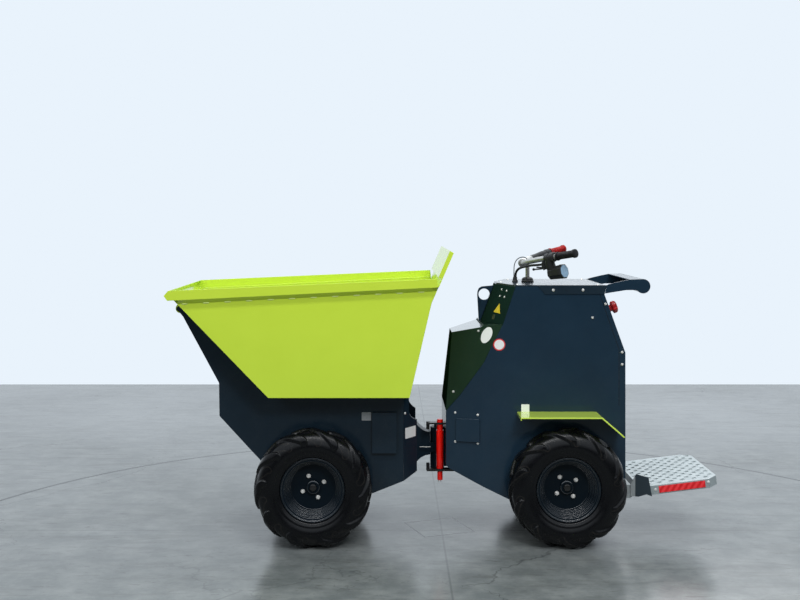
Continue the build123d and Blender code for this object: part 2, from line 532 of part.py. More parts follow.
# ------------------------------------------------------------------ mudguards and hatches
GUARD_OVER = 62.5              # past the tyre's mid-plane
GUARD_Y = TRACK_Y + GUARD_OVER
GUARD_LINE = [(346.0, 574.0), (699.0, 574.0), (796.0, 490.0)]
GUARD_EDGE = 6.0               # the outer edge, turned down
GUARD_LIP = 13.0               # the front end, turned down


def mudguard(side):
    """A bent top with its outer edge and its front end turned down."""
    wall = BODY_Y + TOUCH
    top = sheet(GUARD_LINE, -SHEET, *sy(side, wall, GUARD_Y))
    edge = sheet(GUARD_LINE, -GUARD_EDGE, *sy(side, GUARD_Y - SHEET, GUARD_Y))
    x0, z1 = GUARD_LINE[0]
    lip = block(x0, x0 + SHEET, *sy(side, wall, GUARD_Y), z1 - GUARD_LIP, z1 - SHEET / 2)
    return joined(top, edge, lip)


put("mudguards", mudguard(-1), mudguard(1))

HATCH_X, HATCH_Z, HATCH_T = (75.0, 183.0), (437.0, 540.0), 4.0
TAPER = (BODY_Y - FRONT_Y) / (SHOULDER_X - FRONT_X)
hatches = []
for s in (-1, 1):
    feet = [(x, FRONT_Y + (x - FRONT_X) * TAPER + TOUCH) for x in HATCH_X]
    outline = [(x, s * y) for x, y in feet] + [(x, s * (y + HATCH_T)) for x, y in feet[::-1]]
    hatches.append(plan(outline, *HATCH_Z))
put("side_hatches", *hatches)

# ------------------------------------------------------------------ pivot and its lock bar
FORK_EARS = [(273.0, 344.5), (391.5, 463.0)]
FORK_R, FORK_ROOT_Y = 31.5, 44.0
FORK_ROOT_X = FRONT_X - TOUCH
PIN_STANDS = 11.0
fork = rod((0, 0, FORK_EARS[0][0] - PIN_STANDS), (0, 0, FORK_EARS[1][1] + PIN_STANDS), PIVOT_PIN_R)
for z0, z1 in FORK_EARS:
    ear = plan([(0, -FORK_R), (FORK_ROOT_X, -FORK_ROOT_Y), (FORK_ROOT_X, FORK_ROOT_Y), (0, FORK_R)], z0, z1)
    fork = fork + ear + rod((0, 0, z0), (0, 0, z1), FORK_R)
put("pivot_fork", fork)

LOCK_X, LOCK_Y = 9.0, -115.0
LOCK_BAR = [  # from Z, to Z, radius
    (242.0, 294.0, 12.5), (294.0, 468.0, 16.5), (468.0, 518.0, 13.5),
]
put("lock_bar", joined(*[rod((LOCK_X, LOCK_Y, z0), (LOCK_X, LOCK_Y, z1), r) for z0, z1, r in LOCK_BAR]))
ARM_X, ARM_HALF = -52.0, 20.0
HOOK_X, HOOK_R = -46.0, 8.0
LOCK_ARMS = [  # under face, top, X at the body on each, hook's ends
    (284.0, 293.0, 104.0, 85.5, 284.0, 318.0),
    (497.0, 505.0, FORK_ROOT_X, FORK_ROOT_X, 472.0, 507.0),
]
clips = []
for z0, z1, x0, x1, hook0, hook1 in LOCK_ARMS:
    arm = slab([(ARM_X, z0), (x0, z0), (x1, z1), (ARM_X, z1)], LOCK_Y - ARM_HALF, LOCK_Y + ARM_HALF)
    hook = rod((HOOK_X, LOCK_Y, hook0), (HOOK_X, LOCK_Y, hook1), HOOK_R)
    hole = rod((LOCK_X, LOCK_Y, z0 - CUT), (LOCK_X, LOCK_Y, z1 + CUT), LOCK_BAR[2][2] + RUNNING)
    clips.append(arm + hook - hole)
put("lock_brackets", *clips)

# ------------------------------------------------------------------ isolator and steering base
KNOB_Y, KNOB_Z = -180.0, 1040.0
down_face = (UNDER_DECK - KNOB_Z) / (UNDER_DECK - REAR_KNEE_Z)
KNOB_FOOT = V(REAR_TOP_X + down_face * (REAR_X - REAR_TOP_X), KNOB_Y, KNOB_Z)     # on the slanted rear face
rear_face = V(REAR_KNEE_Z - UNDER_DECK, 0, REAR_TOP_X - REAR_X).normalized()
knob_run = V(-rear_face.X, 0, -rear_face.Z)
KNOB = [  # from, to, radius
    (TOUCH, 10.0, 15.0), (10.0, 27.0, 11.0), (27.0, 33.0, 22.0), (33.0, 40.0, 27.0),
]
put("isolator_knob", joined(*[rod(KNOB_FOOT + knob_run * d0, KNOB_FOOT + knob_run * d1, r) for d0, d1, r in KNOB]))

BASE_DISCS = [  # from Z, to Z, radius, above the deck
    (TOUCH, 6.0, 29.0), (6.0, 12.0, 22.0),
]
base = joined(*[rod((BAR_X, 0, DECK_Z + z0), (BAR_X, 0, DECK_Z + z1), r) for z0, z1, r in BASE_DISCS])
GLAND = [(TOUCH, 7.0, 11.5), (7.0, GLAND_TOP - DECK_Z, 8.0)]
gland = joined(*[rod((GLAND_X, 0, DECK_Z + z0), (GLAND_X, 0, DECK_Z + z1), r) for z0, z1, r in GLAND])
put("steering_base", base - rod((BAR_X, 0, DECK_Z - CUT), (BAR_X, 0, DECK_Z + 4 * CUT), STEM_R + RUNNING), gland)

# ------------------------------------------------------------------ handlebar
# A stem, a clamp and a bent tube, all turned a little by the bar's play.
BEND = [(398.0, 0.0, 1226.0), (404.0, 70.0, 1230.0), (455.0, 175.0, 1246.0), (531.0, 262.0, 1264.0),
        (614.0, 345.0, 1282.0)]
STEM_TOP = 1236.0
GRIP_L, GRIP_R, GRIP_END_R, GRIP_END_L = 108.0, 16.5, 20.0, 14.0
GRIP_OVER = 4.7                # how far the grip covers the tube's end
turned = Pos(BAR_X, 0, 0) * Rot(0, 0, BAR_TURN) * Pos(-BAR_X, 0, 0)
stem = rod((BAR_X, 0, DECK_Z - 1), (BAR_X, 0, STEM_TOP), STEM_R)
clamp = block(BAR_X - 31, BAR_X + 15, -24, 24, STEM_TOP - 28, STEM_TOP + 4)
sides = [[(x, s * y, z) for x, y, z in BEND] for s in (-1, 1)]
put("handlebar_tube", turned * joined(stem, clamp, *[bar(points, BAR_R) for points in sides]))
for node, points in zip(("grip_left", "grip_right"), sides):
    tip, before = V(*points[-1]), V(*points[-2])
    run = (tip - before).normalized()
    end, start = tip + run * GRIP_OVER, tip - run * (GRIP_L - GRIP_OVER)
    grip = rod(start, end, GRIP_R) + rod(end - run * GRIP_END_L, end, GRIP_END_R)
    put(node, turned * (grip - rod(start - run * CUT, tip, BAR_R + SLIDING)))

# The control box hangs from a knuckle clamped on the left half of the bar.
BOX_AT, BOX_RUN = V(500, -222, 1196), V(0.80, -0.45, 0.12).normalized()
BOX_R, BOX_L = 36.0, 62.0
KNUCKLE = ((478.0, -201.0, 1262.0), (505.0, -228.0, 1200.0), 19.0)
LEVER = ((488.0, -210.0, 1217.0), (444.0, -160.0, 1203.0), 5.0)
box = Plane(origin=BOX_AT, z_dir=BOX_RUN) * extrude(RegularPolygon(BOX_R, 8), BOX_L)
control = joined(box, rod(*KNUCKLE), rod(*LEVER))
for a, b in zip(sides[0][1:], sides[0][2:]):
    control = control - rod(a, b, BAR_R + SLIDING)
control = control - Pos(*sides[0][2]) * Sphere(BAR_R + SLIDING)
put("control_box", turned * control)

# The cable bundle rises from the gland and runs under the bar to the knuckle.
BUNDLE_R = 5.5
BUNDLE = [(367.0, 0.0, 1160.3), (367.0, 0.0, 1179.0), (376.0, -19.0, 1197.0), (387.0, -47.0, 1206.0),
          (400.0, -79.0, 1211.0), (413.0, -113.0, 1217.0), (428.0, -146.0, 1221.0), (443.0, -174.0, 1223.0),
          (461.6, -199.9, 1226.5)]


def cable(points, r):
    """A tube along straight runs joined by arcs as large as the runs allow."""
    radii = []
    for a, b, c in zip(points, points[1:], points[2:]):
        u, w = V(*b) - V(*a), V(*c) - V(*b)
        radii.append(0.45 * min(u.length, w.length) / math.tan(math.radians(u.get_angle(w)) / 2))
    print("cable's radii", [round(v) for v in radii])
    path = FilletPolyline(*points, radius=radii)
    start = Plane(origin=points[0], z_dir=V(*points[1]) - V(*points[0]))
    return sweep(start * Circle(r), path)


put("cable_bundle", cable(BUNDLE, BUNDLE_R))

# ------------------------------------------------------------------ step
# A folded, perforated tray that folds up on two pins.
STEP_IN_X = 30.0               # tray's front edge from the hinge
CHAMFER = 46.0
ROWS, ROW_PITCH = 14, 31.0     # rows of holes across the step
HOLES, HOLE_PITCH = 6, 52.0    # holes in a short row; a long row has one more
HOLE_R, HOLE_SIDES = 8.5, 8
LEAF_IN, LEAF_OUT = 229.0, 241.0
LEAF_R, LEAF_L, LEAF_DEEP, HINGE_BORE = 9.0, 84.0, 24.0, 6.0
REFLECTOR = (113.0, 320.0, -34.0, -5.0, 2.8)  # X of both ends, Z of both edges, thickness
step_place = Pos(FOLD_X, 0, FOLD_Z) * Rot(0, -STEP_TILT, 0)


def tray_outline(inset):
    """The tray's plan, its four corners cut at 45 degrees."""
    x0, x1, y = STEP_IN_X + inset, STEP_L - inset, STEP_Y - inset
    c = CHAMFER - inset * (2 - math.sqrt(2))
    half = [(x0, y - c), (x0 + c, y), (x1 - c, y), (x1, y - c)]
    return half + [(x, -v) for x, v in half[::-1]]


def hole(x, y):
    disc = RegularPolygon(HOLE_R, HOLE_SIDES, rotation=180 / HOLE_SIDES)
    return extrude(Pos(x, y, -SHEET - CUT) * disc, SHEET + 2 * CUT)


tray = plan(tray_outline(0), -STEP_DEEP, 0) - plan(tray_outline(SHEET), -STEP_DEEP - CUT, -SHEET)
MIDDLE = (STEP_IN_X + STEP_L) / 2
holes = []
for row in range(ROWS):
    n = HOLES + row % 2
    y = (row - (ROWS - 1) / 2) * ROW_PITCH
    holes += [hole(MIDDLE + (i - (n - 1) / 2) * HOLE_PITCH, y) for i in range(n)]
step = tray.cut(*holes)
for s in (-1, 1):
    y0, y1 = sy(s, LEAF_IN, LEAF_OUT)
    step = step + block(0, LEAF_L, y0, y1, -LEAF_DEEP, -SHEET) + rod((0, y0, 0), (0, y1, 0), LEAF_R)
    step = step - block(-LEAF_R, LEAF_R, y0, y1, -LEAF_DEEP - 1, -LEAF_R - 1)
step = step - rod((0, -STEP_Y, 0), (0, STEP_Y, 0), HINGE_BORE + SLIDING)
put("step_deck", step_place * step)
strips = []
for s in (-1, 1):
    x0, x1, z0, z1, t = REFLECTOR
    strips.append(step_place * block(x0, x1, *sy(s, STEP_Y + TOUCH, STEP_Y + TOUCH + t), z0, z1))
put("step_reflectors", *strips)

CHEEK_IN, CHEEK_OUT = 251.0, 257.0
CHEEK = [  # X and Z from the hinge: an upright plate beside the step's corner
    (-14.0, -33.0), (-14.0, 20.0), (12.0, 64.0), (65.0, 50.0), (81.0, -34.0), (56.0, -25.0), (22.0, -35.0),
]
BRIDGE = [(TOUCH - FOLD_OUT, -42.0), (-16.0, -42.0), (-4.0, -35.0), (-4.0, 16.0), (TOUCH - FOLD_OUT, 16.0)]
BRIDGE_IN, SWING_R = 200.0, 34.0
arms = []
for s in (-1, 1):
    bridge, cheek = [[(FOLD_X + x, FOLD_Z + z) for x, z in points] for points in (BRIDGE, CHEEK)]
    bridge = slab(bridge, *sy(s, BRIDGE_IN, CHEEK_IN))
    swing = rod((FOLD_X, s * (BRIDGE_IN - 10), FOLD_Z), (FOLD_X, s * (CHEEK_IN - TOUCH), FOLD_Z), SWING_R)
    pin = rod((FOLD_X, s * (LEAF_IN - 1), FOLD_Z), (FOLD_X, s * CHEEK_OUT, FOLD_Z), HINGE_BORE)
    arms.append(joined((bridge - swing).solids()[0], slab(cheek, *sy(s, CHEEK_IN, CHEEK_OUT)), pin))
put("step_arms", *arms)
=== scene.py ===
"""Dresses the site dumper's fixed frame: metres, +Z up, -X is the skip's end, -Y the machine's left side.

The sections follow the machine as it is put together, from the stage and the wheels to the step.
"""
import json
import math
import bmesh
import bpy
import numpy as np
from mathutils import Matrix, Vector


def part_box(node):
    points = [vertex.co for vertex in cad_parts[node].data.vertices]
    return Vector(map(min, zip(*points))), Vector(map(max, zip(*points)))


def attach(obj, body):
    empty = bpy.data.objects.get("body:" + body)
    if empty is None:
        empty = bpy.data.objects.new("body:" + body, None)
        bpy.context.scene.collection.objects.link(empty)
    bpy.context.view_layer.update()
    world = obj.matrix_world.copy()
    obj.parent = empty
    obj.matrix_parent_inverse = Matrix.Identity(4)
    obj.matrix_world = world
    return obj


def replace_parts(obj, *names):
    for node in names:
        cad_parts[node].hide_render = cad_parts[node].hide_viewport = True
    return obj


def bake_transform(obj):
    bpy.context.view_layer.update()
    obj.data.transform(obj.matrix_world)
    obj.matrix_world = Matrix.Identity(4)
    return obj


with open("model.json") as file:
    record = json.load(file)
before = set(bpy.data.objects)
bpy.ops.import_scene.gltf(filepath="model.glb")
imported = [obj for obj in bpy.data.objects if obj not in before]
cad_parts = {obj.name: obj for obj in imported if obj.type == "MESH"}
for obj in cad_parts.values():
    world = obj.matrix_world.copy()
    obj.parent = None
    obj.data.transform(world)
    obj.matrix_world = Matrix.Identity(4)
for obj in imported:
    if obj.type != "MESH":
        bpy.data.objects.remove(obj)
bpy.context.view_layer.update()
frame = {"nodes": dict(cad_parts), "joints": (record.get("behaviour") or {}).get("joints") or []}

# ------------------------------------------------------------------ hall, camera and lamps
# A pale hall: a polished concrete floor up to the foot of a far white wall, where it ends. The
# floor is coloured lighter towards the wall as painted light.
# Two long lamps hang overhead, two stand in front on the left side and one behind.
CAMERA_AT = (-0.243, -5.05, 1.44)
WALL_Y = 4.25
FLOOR_HALF_X, FLOOR_FRONT_Y = 14.0, -9.0
HALL_WHITE = (0.815, 0.895, 0.975)
CONCRETE, CONCRETE_LIT_FAR, JOINT_GREY = (0.122, 0.140, 0.143), (0.285, 0.31, 0.32), (0.02, 0.024, 0.026)
ADD, MULTIPLY, MAXIMUM = "ADD", "MULTIPLY", "MAXIMUM"


def new_material(name, metallic=0.0, coat=0.0, coat_roughness=0.05, specular=0.5):
    """An empty Principled material, its node tree and its shader."""
    made = bpy.data.materials.new(name)
    made.use_nodes = True
    tree = made.node_tree
    shader = tree.nodes["Principled BSDF"]
    for socket, value in (("Metallic", metallic), ("Coat Weight", coat), ("Coat Roughness", coat_roughness),
                          ("Specular IOR Level", specular)):
        shader.inputs[socket].default_value = value
    return made, tree, shader


def put(tree, socket, value):
    """Links an output to a socket, or sets the socket's own number or colour."""
    if isinstance(value, bpy.types.NodeSocket):
        tree.links.new(value, socket)
    else:
        socket.default_value = (*value, 1.0) if socket.type == "RGBA" else value


def node(tree, kind, values=None, **settings):
    """One shader node; values are numbers, colours or links for its sockets."""
    made = tree.nodes.new("ShaderNode" + kind)
    for key, value in settings.items():
        setattr(made, key, value)
    for socket, value in (values or {}).items():
        put(tree, made.inputs[socket], value)
    return made


def noise(tree, where, scale, detail=4.0, roughness=0.55, distortion=0.0):
    """A noise pattern's value over the surface, scale in waves a metre."""
    return node(tree, "TexNoise", {"Vector": where, "Scale": scale, "Detail": detail,
                                   "Roughness": roughness, "Distortion": distortion}).outputs["Fac"]


def ramp(tree, value, low, high, to_low=0.0, to_high=1.0):
    """value from low..high to to_low..to_high, held at both ends."""
    return node(tree, "MapRange", {"Value": value, "From Min": low, "From Max": high,
                                   "To Min": to_low, "To Max": to_high}).outputs["Result"]


def mixed(tree, factor, a, b):
    """Two colours mixed by a factor."""
    return node(tree, "Mix", {0: factor, 6: a, 7: b}, data_type="RGBA").outputs[2]


def maths(tree, operation, a, b=0.0):
    return node(tree, "Math", {0: a, 1: b}, operation=operation).outputs[0]


def vectors(tree, operation, a, b=(0.0, 0.0, 0.0)):
    return node(tree, "VectorMath", {0: a, 1: b}, operation=operation).outputs


def axes(tree, vector):
    return node(tree, "SeparateXYZ", {0: vector}).outputs


def bumped(tree, shader, height, distance):
    """Feeds a height pattern to the shader's normal, distance in metres."""
    made = node(tree, "Bump", {"Height": height, "Distance": distance, "Strength": 1.0})
    feed(tree, shader, Normal=made.outputs["Normal"])


def object_place(tree):
    return node(tree, "TexCoord").outputs["Object"]


def feed(tree, shader, **links):
    """Links outputs to a shader's or a group's last sockets, named with _ for a space."""
    for socket, output in links.items():
        tree.links.new(output, shader.inputs[socket.replace("_", " ")])


def added(name, data):
    """An object for a mesh, a lamp or the camera, put in the scene."""
    obj = bpy.data.objects.new(name, data)
    bpy.context.scene.collection.objects.link(obj)
    return obj


concrete, tree, shader = new_material("polished_concrete")
where = object_place(tree)
across = axes(tree, where)
cloud = noise(tree, where, 0.55, 6.0, 0.6, 0.4)
fine = noise(tree, where, 7.0, 8.0, 0.65)
# The floor's colour is mixed lighter towards the far wall: painted light.
worn = mixed(tree, ramp(tree, across["Y"], -1.5, WALL_Y), CONCRETE, CONCRETE_LIT_FAR)
worn = mixed(tree, ramp(tree, cloud, 0.35, 0.7, 0.0, 0.6), worn, (0.11, 0.124, 0.124))
worn = mixed(tree, ramp(tree, fine, 0.4, 0.68, 0.0, 0.38), worn, (0.33, 0.355, 0.35))
SCUFFS = [  # how the pattern is stretched and turned, its noise, its threshold and strength, its colour
    ((0.7, 3.4, 1.0), 0.12, (3.2, 9.0, 0.7, 0.6), (0.52, 0.66, 0.0, 0.45), (0.085, 0.092, 0.09)),
    ((1.0, 5.0, 1.0), -0.2, (9.0, 10.0, 0.75, 1.0), (0.56, 0.66, 0.0, 0.55), (0.05, 0.05, 0.046)),
]
for stretch, turn, pattern, threshold, colour in SCUFFS:
    drawn = node(tree, "Mapping", {0: where, "Scale": stretch, "Rotation": (0.0, 0.0, turn)}).outputs[0]
    worn = mixed(tree, ramp(tree, noise(tree, drawn, *pattern), *threshold), worn, colour)

JOINT_PITCH, JOINT_HALF = 4.6, 0.002
JOINT_AT_X, JOINT_AT_Y = -0.01, -0.08
cells = [maths(tree, "PINGPONG", maths(tree, ADD, across[way], -at), JOINT_PITCH)
         for way, at in (("X", JOINT_AT_X), ("Y", JOINT_AT_Y))]
joint = ramp(tree, maths(tree, "MINIMUM", *cells), JOINT_HALF, 3 * JOINT_HALF, 0.35, 0.0)
TURNTABLE_AT, TURNTABLE_R = (0.005, -0.606, 0.0), 2.464
off_centre = vectors(tree, "DISTANCE", where, TURNTABLE_AT)["Value"]
round_mark = maths(tree, "ABSOLUTE", maths(tree, "SUBTRACT", off_centre, TURNTABLE_R))
LID_AT, LID_HALF, LID_TURN = (-0.02, -0.03, 0.0), 0.122, math.radians(-21.0)
lid = node(tree, "VectorRotate", {"Vector": vectors(tree, "SUBTRACT", where, LID_AT)[0], "Angle": LID_TURN},
           rotation_type="Z_AXIS").outputs[0]
lid = axes(tree, vectors(tree, "ABSOLUTE", lid)[0])
lid_mark = maths(tree, "ABSOLUTE", maths(tree, "SUBTRACT", maths(tree, MAXIMUM, lid["X"], lid["Y"]), LID_HALF))
drift = vectors(tree, ADD, where, noise(tree, where, 1.4, 5.0, 0.7))[0]
crack = node(tree, "TexVoronoi", {"Vector": drift, "Scale": 0.75}, feature="DISTANCE_TO_EDGE").outputs[0]
lines = maths(tree, MULTIPLY, ramp(tree, crack, 0.001, 0.006, 0.45, 0.0), ramp(tree, cloud, 0.4, 0.6))
for mark in (joint, ramp(tree, round_mark, 0.006, 0.014, 0.97, 0.0), ramp(tree, lid_mark, 0.002, 0.006, 0.8, 0.0)):
    lines = maths(tree, MAXIMUM, lines, mark)
feed(tree, shader, Base_Color=mixed(tree, lines, worn, JOINT_GREY),
     Roughness=ramp(tree, cloud, 0.3, 0.75, 0.13, 0.3))
bumped(tree, shader, fine, 0.0003)

corners = [(-FLOOR_HALF_X, FLOOR_FRONT_Y, 0.0), (FLOOR_HALF_X, FLOOR_FRONT_Y, 0.0),
           (FLOOR_HALF_X, WALL_Y, 0.0), (-FLOOR_HALF_X, WALL_Y, 0.0)]
floor_mesh = bpy.data.meshes.new("hall_floor")
floor_mesh.from_pydata(corners, [], [(0, 1, 2, 3)])
floor_mesh.materials.append(concrete)
floor = added("hall_floor", floor_mesh)

bpy.context.scene.view_settings.view_transform = "Standard"
camera_data = bpy.data.cameras.new("camera")
camera_data.lens, camera_data.sensor_width = 48.65, 36.0
camera_data.shift_x, camera_data.shift_y = 0.01125, -0.10375
camera = added("camera", camera_data)
camera.location, camera.rotation_euler = CAMERA_AT, (math.pi / 2, 0.0, 0.0)
bpy.context.scene.camera = camera

LAMPS = [  # name, power, width, depth, place, aimed at, shows in glossy paint
    ("near_strip", 80.0, 5.5, 0.5, (-0.2, -2.3, 4.4), (-0.2, 0.0, 0.4), True),
    ("far_strip", 80.0, 5.5, 0.5, (-0.2, 0.9, 4.6), (-0.2, 0.0, 0.0), True),
    ("front_lamp", 140.0, 1.6, 1.0, (1.3, -5.0, 4.2), (0.0, 0.0, 0.6), False),
    ("left_lamp", 72.0, 2.4, 1.6, (-3.6, -5.0, 3.4), (0.0, 0.0, 0.6), False),
    ("rear_lamp", 40.0, 4.0, 2.0, (2.4, 4.6, 3.0), (0.0, 0.0, 0.6), True),
]
for name, power, width, depth, at, aim, mirrored in LAMPS:
    data = bpy.data.lights.new(name, "AREA")
    data.shape, data.energy, data.size, data.size_y = "RECTANGLE", power, width, depth
    lamp = added(name, data)
    lamp.location, lamp.visible_glossy = at, mirrored
    away = [a - b for a, b in zip(at, aim)]
    flat = math.hypot(away[0], away[1])
    lamp.rotation_euler = (math.atan2(flat, away[2]), 0.0, math.atan2(away[0], -away[1]))

world = bpy.data.worlds.new("hall_light")
bpy.context.scene.world = world
world.use_nodes = True
tree = world.node_tree
tree.nodes.clear()
path = node(tree, "LightPath").outputs
look = axes(tree, node(tree, "TexCoord").outputs["Generated"])
toward_wall = ramp(tree, look["Y"], -0.35, 0.25, 0.04, 1.0)
toward_wall = maths(tree, MAXIMUM, toward_wall, ramp(tree, look["Z"], 0.2, 0.6, 0.0, 1.6))
mirrored = mixed(tree, toward_wall, (0.0, 0.0, 0.0), HALL_WHITE)
fill_strength = ramp(tree, look["Z"], -0.1, 0.7, 0.16, 0.5)
fill = node(tree, "Background", {"Color": (0.9, 0.95, 1.0), "Strength": fill_strength})
gloss = node(tree, "Background", {"Color": mirrored, "Strength": 1.0})
pale = node(tree, "Background", {"Color": HALL_WHITE, "Strength": 1.0})
seen = maths(tree, MAXIMUM, path["Is Camera Ray"], path["Is Transmission Ray"])
unlit = node(tree, "MixShader", {0: path["Is Glossy Ray"], 1: fill.outputs[0], 2: gloss.outputs[0]})
choice = node(tree, "MixShader", {0: seen, 1: unlit.outputs[0], 2: pale.outputs[0]})
node(tree, "OutputWorld", {"Surface": choice.outputs[0]})

# ------------------------------------------------------------------ tyres
# Four 5.00-10 lugged tyres, moulded in one piece: bar lugs sweep from the middle of the
# tread over each shoulder in turn, and shallow rings run round the sidewall by the rim.
JOINT_AT = {joint["name"]: joint.get("pos_m") for joint in frame["joints"]}
MM = 0.001
PIVOT_X = JOINT_AT["articulation"][0]
TYRE_SECTION = np.array([  # radius and distance from the mid-plane, from the bead to the crown, mm
    (141.0, 45.6), (141.5, 54.0), (146.0, 58.5), (151.0, 60.5), (154.0, 63.8), (157.5, 64.3), (160.0, 63.6),
    (166.0, 66.8), (174.0, 70.2), (182.0, 72.2), (189.0, 72.7), (196.0, 72.2), (204.0, 70.2), (212.0, 67.0),
    (220.0, 62.8), (228.0, 57.6), (235.0, 51.6), (240.0, 44.5), (243.5, 35.5), (245.4, 24.0), (246.0, 0.0)])
LUG_LINE = np.array([  # along the section from the crown, and round the wheel, mm
    (-2.0, 62.0), (14.0, 42.0), (34.0, 14.0), (54.0, -18.0), (68.0, -42.0), (75.0, -51.0), (81.0, -55.0)])
LUG_HALF, LUG_RAMP, LUGS = 13.5, 4.5, 10
LUG_HEIGHT = np.array([  # along the section from the crown, and the lug's height there, mm
    (0.0, 11.4), (46.0, 12.0), (60.0, 12.0), (74.0, 10.5), (88.0, 7.0), (98.0, 3.5), (106.0, 1.5)])
TREAD_R, AROUND, HALF_ACROSS = 246.0, 600, 49
BEAD_IN_R, MOST_R, MOST_HALF = 128.5, 257.4, 74.3


def smooth_line(points):
    """Corners cut at a quarter and three quarters of each run, three times over, ends kept."""
    for _ in range(3):
        a, b = points[:-1], points[1:]
        cut = np.stack([0.75 * a + 0.25 * b, 0.25 * a + 0.75 * b], axis=1).reshape(-1, points.shape[1])
        points = np.vstack([points[:1], cut, points[-1:]])
    return points


def even_line(points, count):
    """The same line with count points, evenly far apart along it."""
    run = np.concatenate([[0.0], np.cumsum(np.linalg.norm(np.diff(points, axis=0), axis=1))])
    at = np.linspace(0.0, run[-1], count)
    return np.stack([np.interp(at, run, points[:, i]) for i in range(points.shape[1])], axis=1)


def distance_to_line(x, y, line):
    """The least distance from each (x, y) to the straight runs between line's points."""
    least = np.full(np.broadcast(x, y).shape, np.inf)
    for (ax, ay), (bx, by) in zip(line[:-1], line[1:]):
        dx, dy = bx - ax, by - ay
        t = np.clip(((x - ax) * dx + (y - ay) * dy) / (dx * dx + dy * dy), 0.0, 1.0)
        least = np.minimum(least, np.hypot(x - ax - t * dx, y - ay - t * dy))
    return least


def smoothstep(x, low, high):
    """0 below low, 1 above high, and between them 3t^2 - 2t^3 for the share t of the way."""
    t = np.clip((x - low) / (high - low), 0.0, 1.0)
    return t * t * (3.0 - 2.0 * t)


def surface(points):
    """(rows, columns, 3) points as loose vertices and quads, the last column joined to the first."""
    rows, cols = points.shape[:2]
    i, j = np.meshgrid(np.arange(rows - 1), np.arange(cols), indexing="ij")
    k = (j + 1) % cols
    quads = np.stack([i * cols + j, (i + 1) * cols + j, (i + 1) * cols + k, i * cols + k], axis=-1)
    return points.reshape(-1, 3), quads.reshape(-1, 4)


def piece(name, surfaces, material, body, sharp=35.0, merge=2e-5, blend=None):
    """One object from several surfaces: doubles merged, faces outwards, smooth up to a sharp angle."""
    made = bpy.data.meshes.new(name)
    offsets = np.cumsum([0] + [len(points) for points, _ in surfaces[:-1]])
    made.from_pydata(np.concatenate([points for points, _ in surfaces]), [],
                     np.concatenate([faces + start for (_, faces), start in zip(surfaces, offsets)]))
    work = bmesh.new()
    work.from_mesh(made)
    bmesh.ops.remove_doubles(work, verts=work.verts, dist=merge)
    bmesh.ops.dissolve_degenerate(work, edges=work.edges, dist=merge / 2)
    bmesh.ops.recalc_face_normals(work, faces=work.faces)
    work.to_mesh(made)
    work.free()
    made.shade_smooth()
    made.set_sharp_from_angle(angle=math.radians(sharp))
    made.materials.append(material)
    obj = added(name, made)
    if blend:
        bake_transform(obj)
    else:
        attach(obj, body)
    return obj


half = even_line(smooth_line(TYRE_SECTION), HALF_ACROSS)
section = np.vstack([half, half[-2::-1] * (1, -1)])
tangent = np.gradient(section, axis=0)
outward = np.stack([-tangent[:, 1], tangent[:, 0]], axis=1)
outward /= np.linalg.norm(outward, axis=1)[:, None]
arc = np.concatenate([[0.0], np.cumsum(np.linalg.norm(np.diff(section, axis=0), axis=1))])
arc -= arc[len(half) - 1]                       # 0 at the crown, below 0 on the +Y side


def tyre_surface(centre, notch_left):
    """The lug pattern's height added to the tyre's section, carried round the axle.

    A lug is 1 within LUG_HALF of its line and 0 a ramp further on. Its line repeats every
    tenth of a turn, and the other side's stands half a pitch round.
    """
    angle = np.linspace(0.0, 2 * np.pi, AROUND, endpoint=False)[None, :]
    off = np.abs(arc)[:, None]
    left = arc[:, None] > 0
    pitch = 2 * np.pi / LUGS
    first = np.where(left, notch_left, notch_left + pitch / 2)
    turn = (angle - first + pitch / 2) % pitch - pitch / 2
    narrow = np.interp(off, [0.0, 75.0, 110.0], [1.0, 1.0, 1.15])
    height, on = np.interp(off, *LUG_HEIGHT.T), 0.0
    for shift in (-1, 0, 1):
        near = distance_to_line(off, (turn + shift * pitch) * TREAD_R, LUG_LINE)
        on = np.maximum(on, 1.0 - smoothstep(near * narrow, LUG_HALF, LUG_HALF + LUG_RAMP))
    crossing = distance_to_line(-off, (turn - pitch / 2 + pitch * (turn < 0)) * TREAD_R, LUG_LINE)
    on = np.maximum(on, 1.0 - smoothstep(crossing, LUG_HALF, LUG_HALF + LUG_RAMP))
    r = section[:, :1] + outward[:, :1] * height * on
    y = section[:, 1:] + outward[:, 1:] * height * on
    r, y = np.minimum(r, MOST_R), np.clip(y, -MOST_HALF, MOST_HALF)
    place = np.stack([r * np.cos(angle), y + 0.0 * angle, r * np.sin(angle)], axis=-1)
    return np.array(centre) + place * MM, on


def grouped(name, inputs, outputs):
    """An empty shader node group: each input's name and default, each output's name and kind."""
    made = bpy.data.node_groups.new(name, "ShaderNodeTree")
    for label, default in inputs.items():
        kind = "Color" if isinstance(default, tuple) else "Float"
        socket = made.interface.new_socket(label, in_out="INPUT", socket_type="NodeSocket" + kind)
        socket.default_value = (*default, 1.0) if kind == "Color" else default
    for label, kind in outputs.items():
        made.interface.new_socket(label, in_out="OUTPUT", socket_type="NodeSocket" + kind)
    return made, made.nodes.new("NodeGroupInput").outputs, made.nodes.new("NodeGroupOutput")


def use_group(tree, group, values):
    """A node group's outputs, with values for its inputs."""
    made = tree.nodes.new("ShaderNodeGroup")
    made.node_tree = group
    for socket, value in values.items():
        put(tree, made.inputs[socket], value)
    return made.outputs


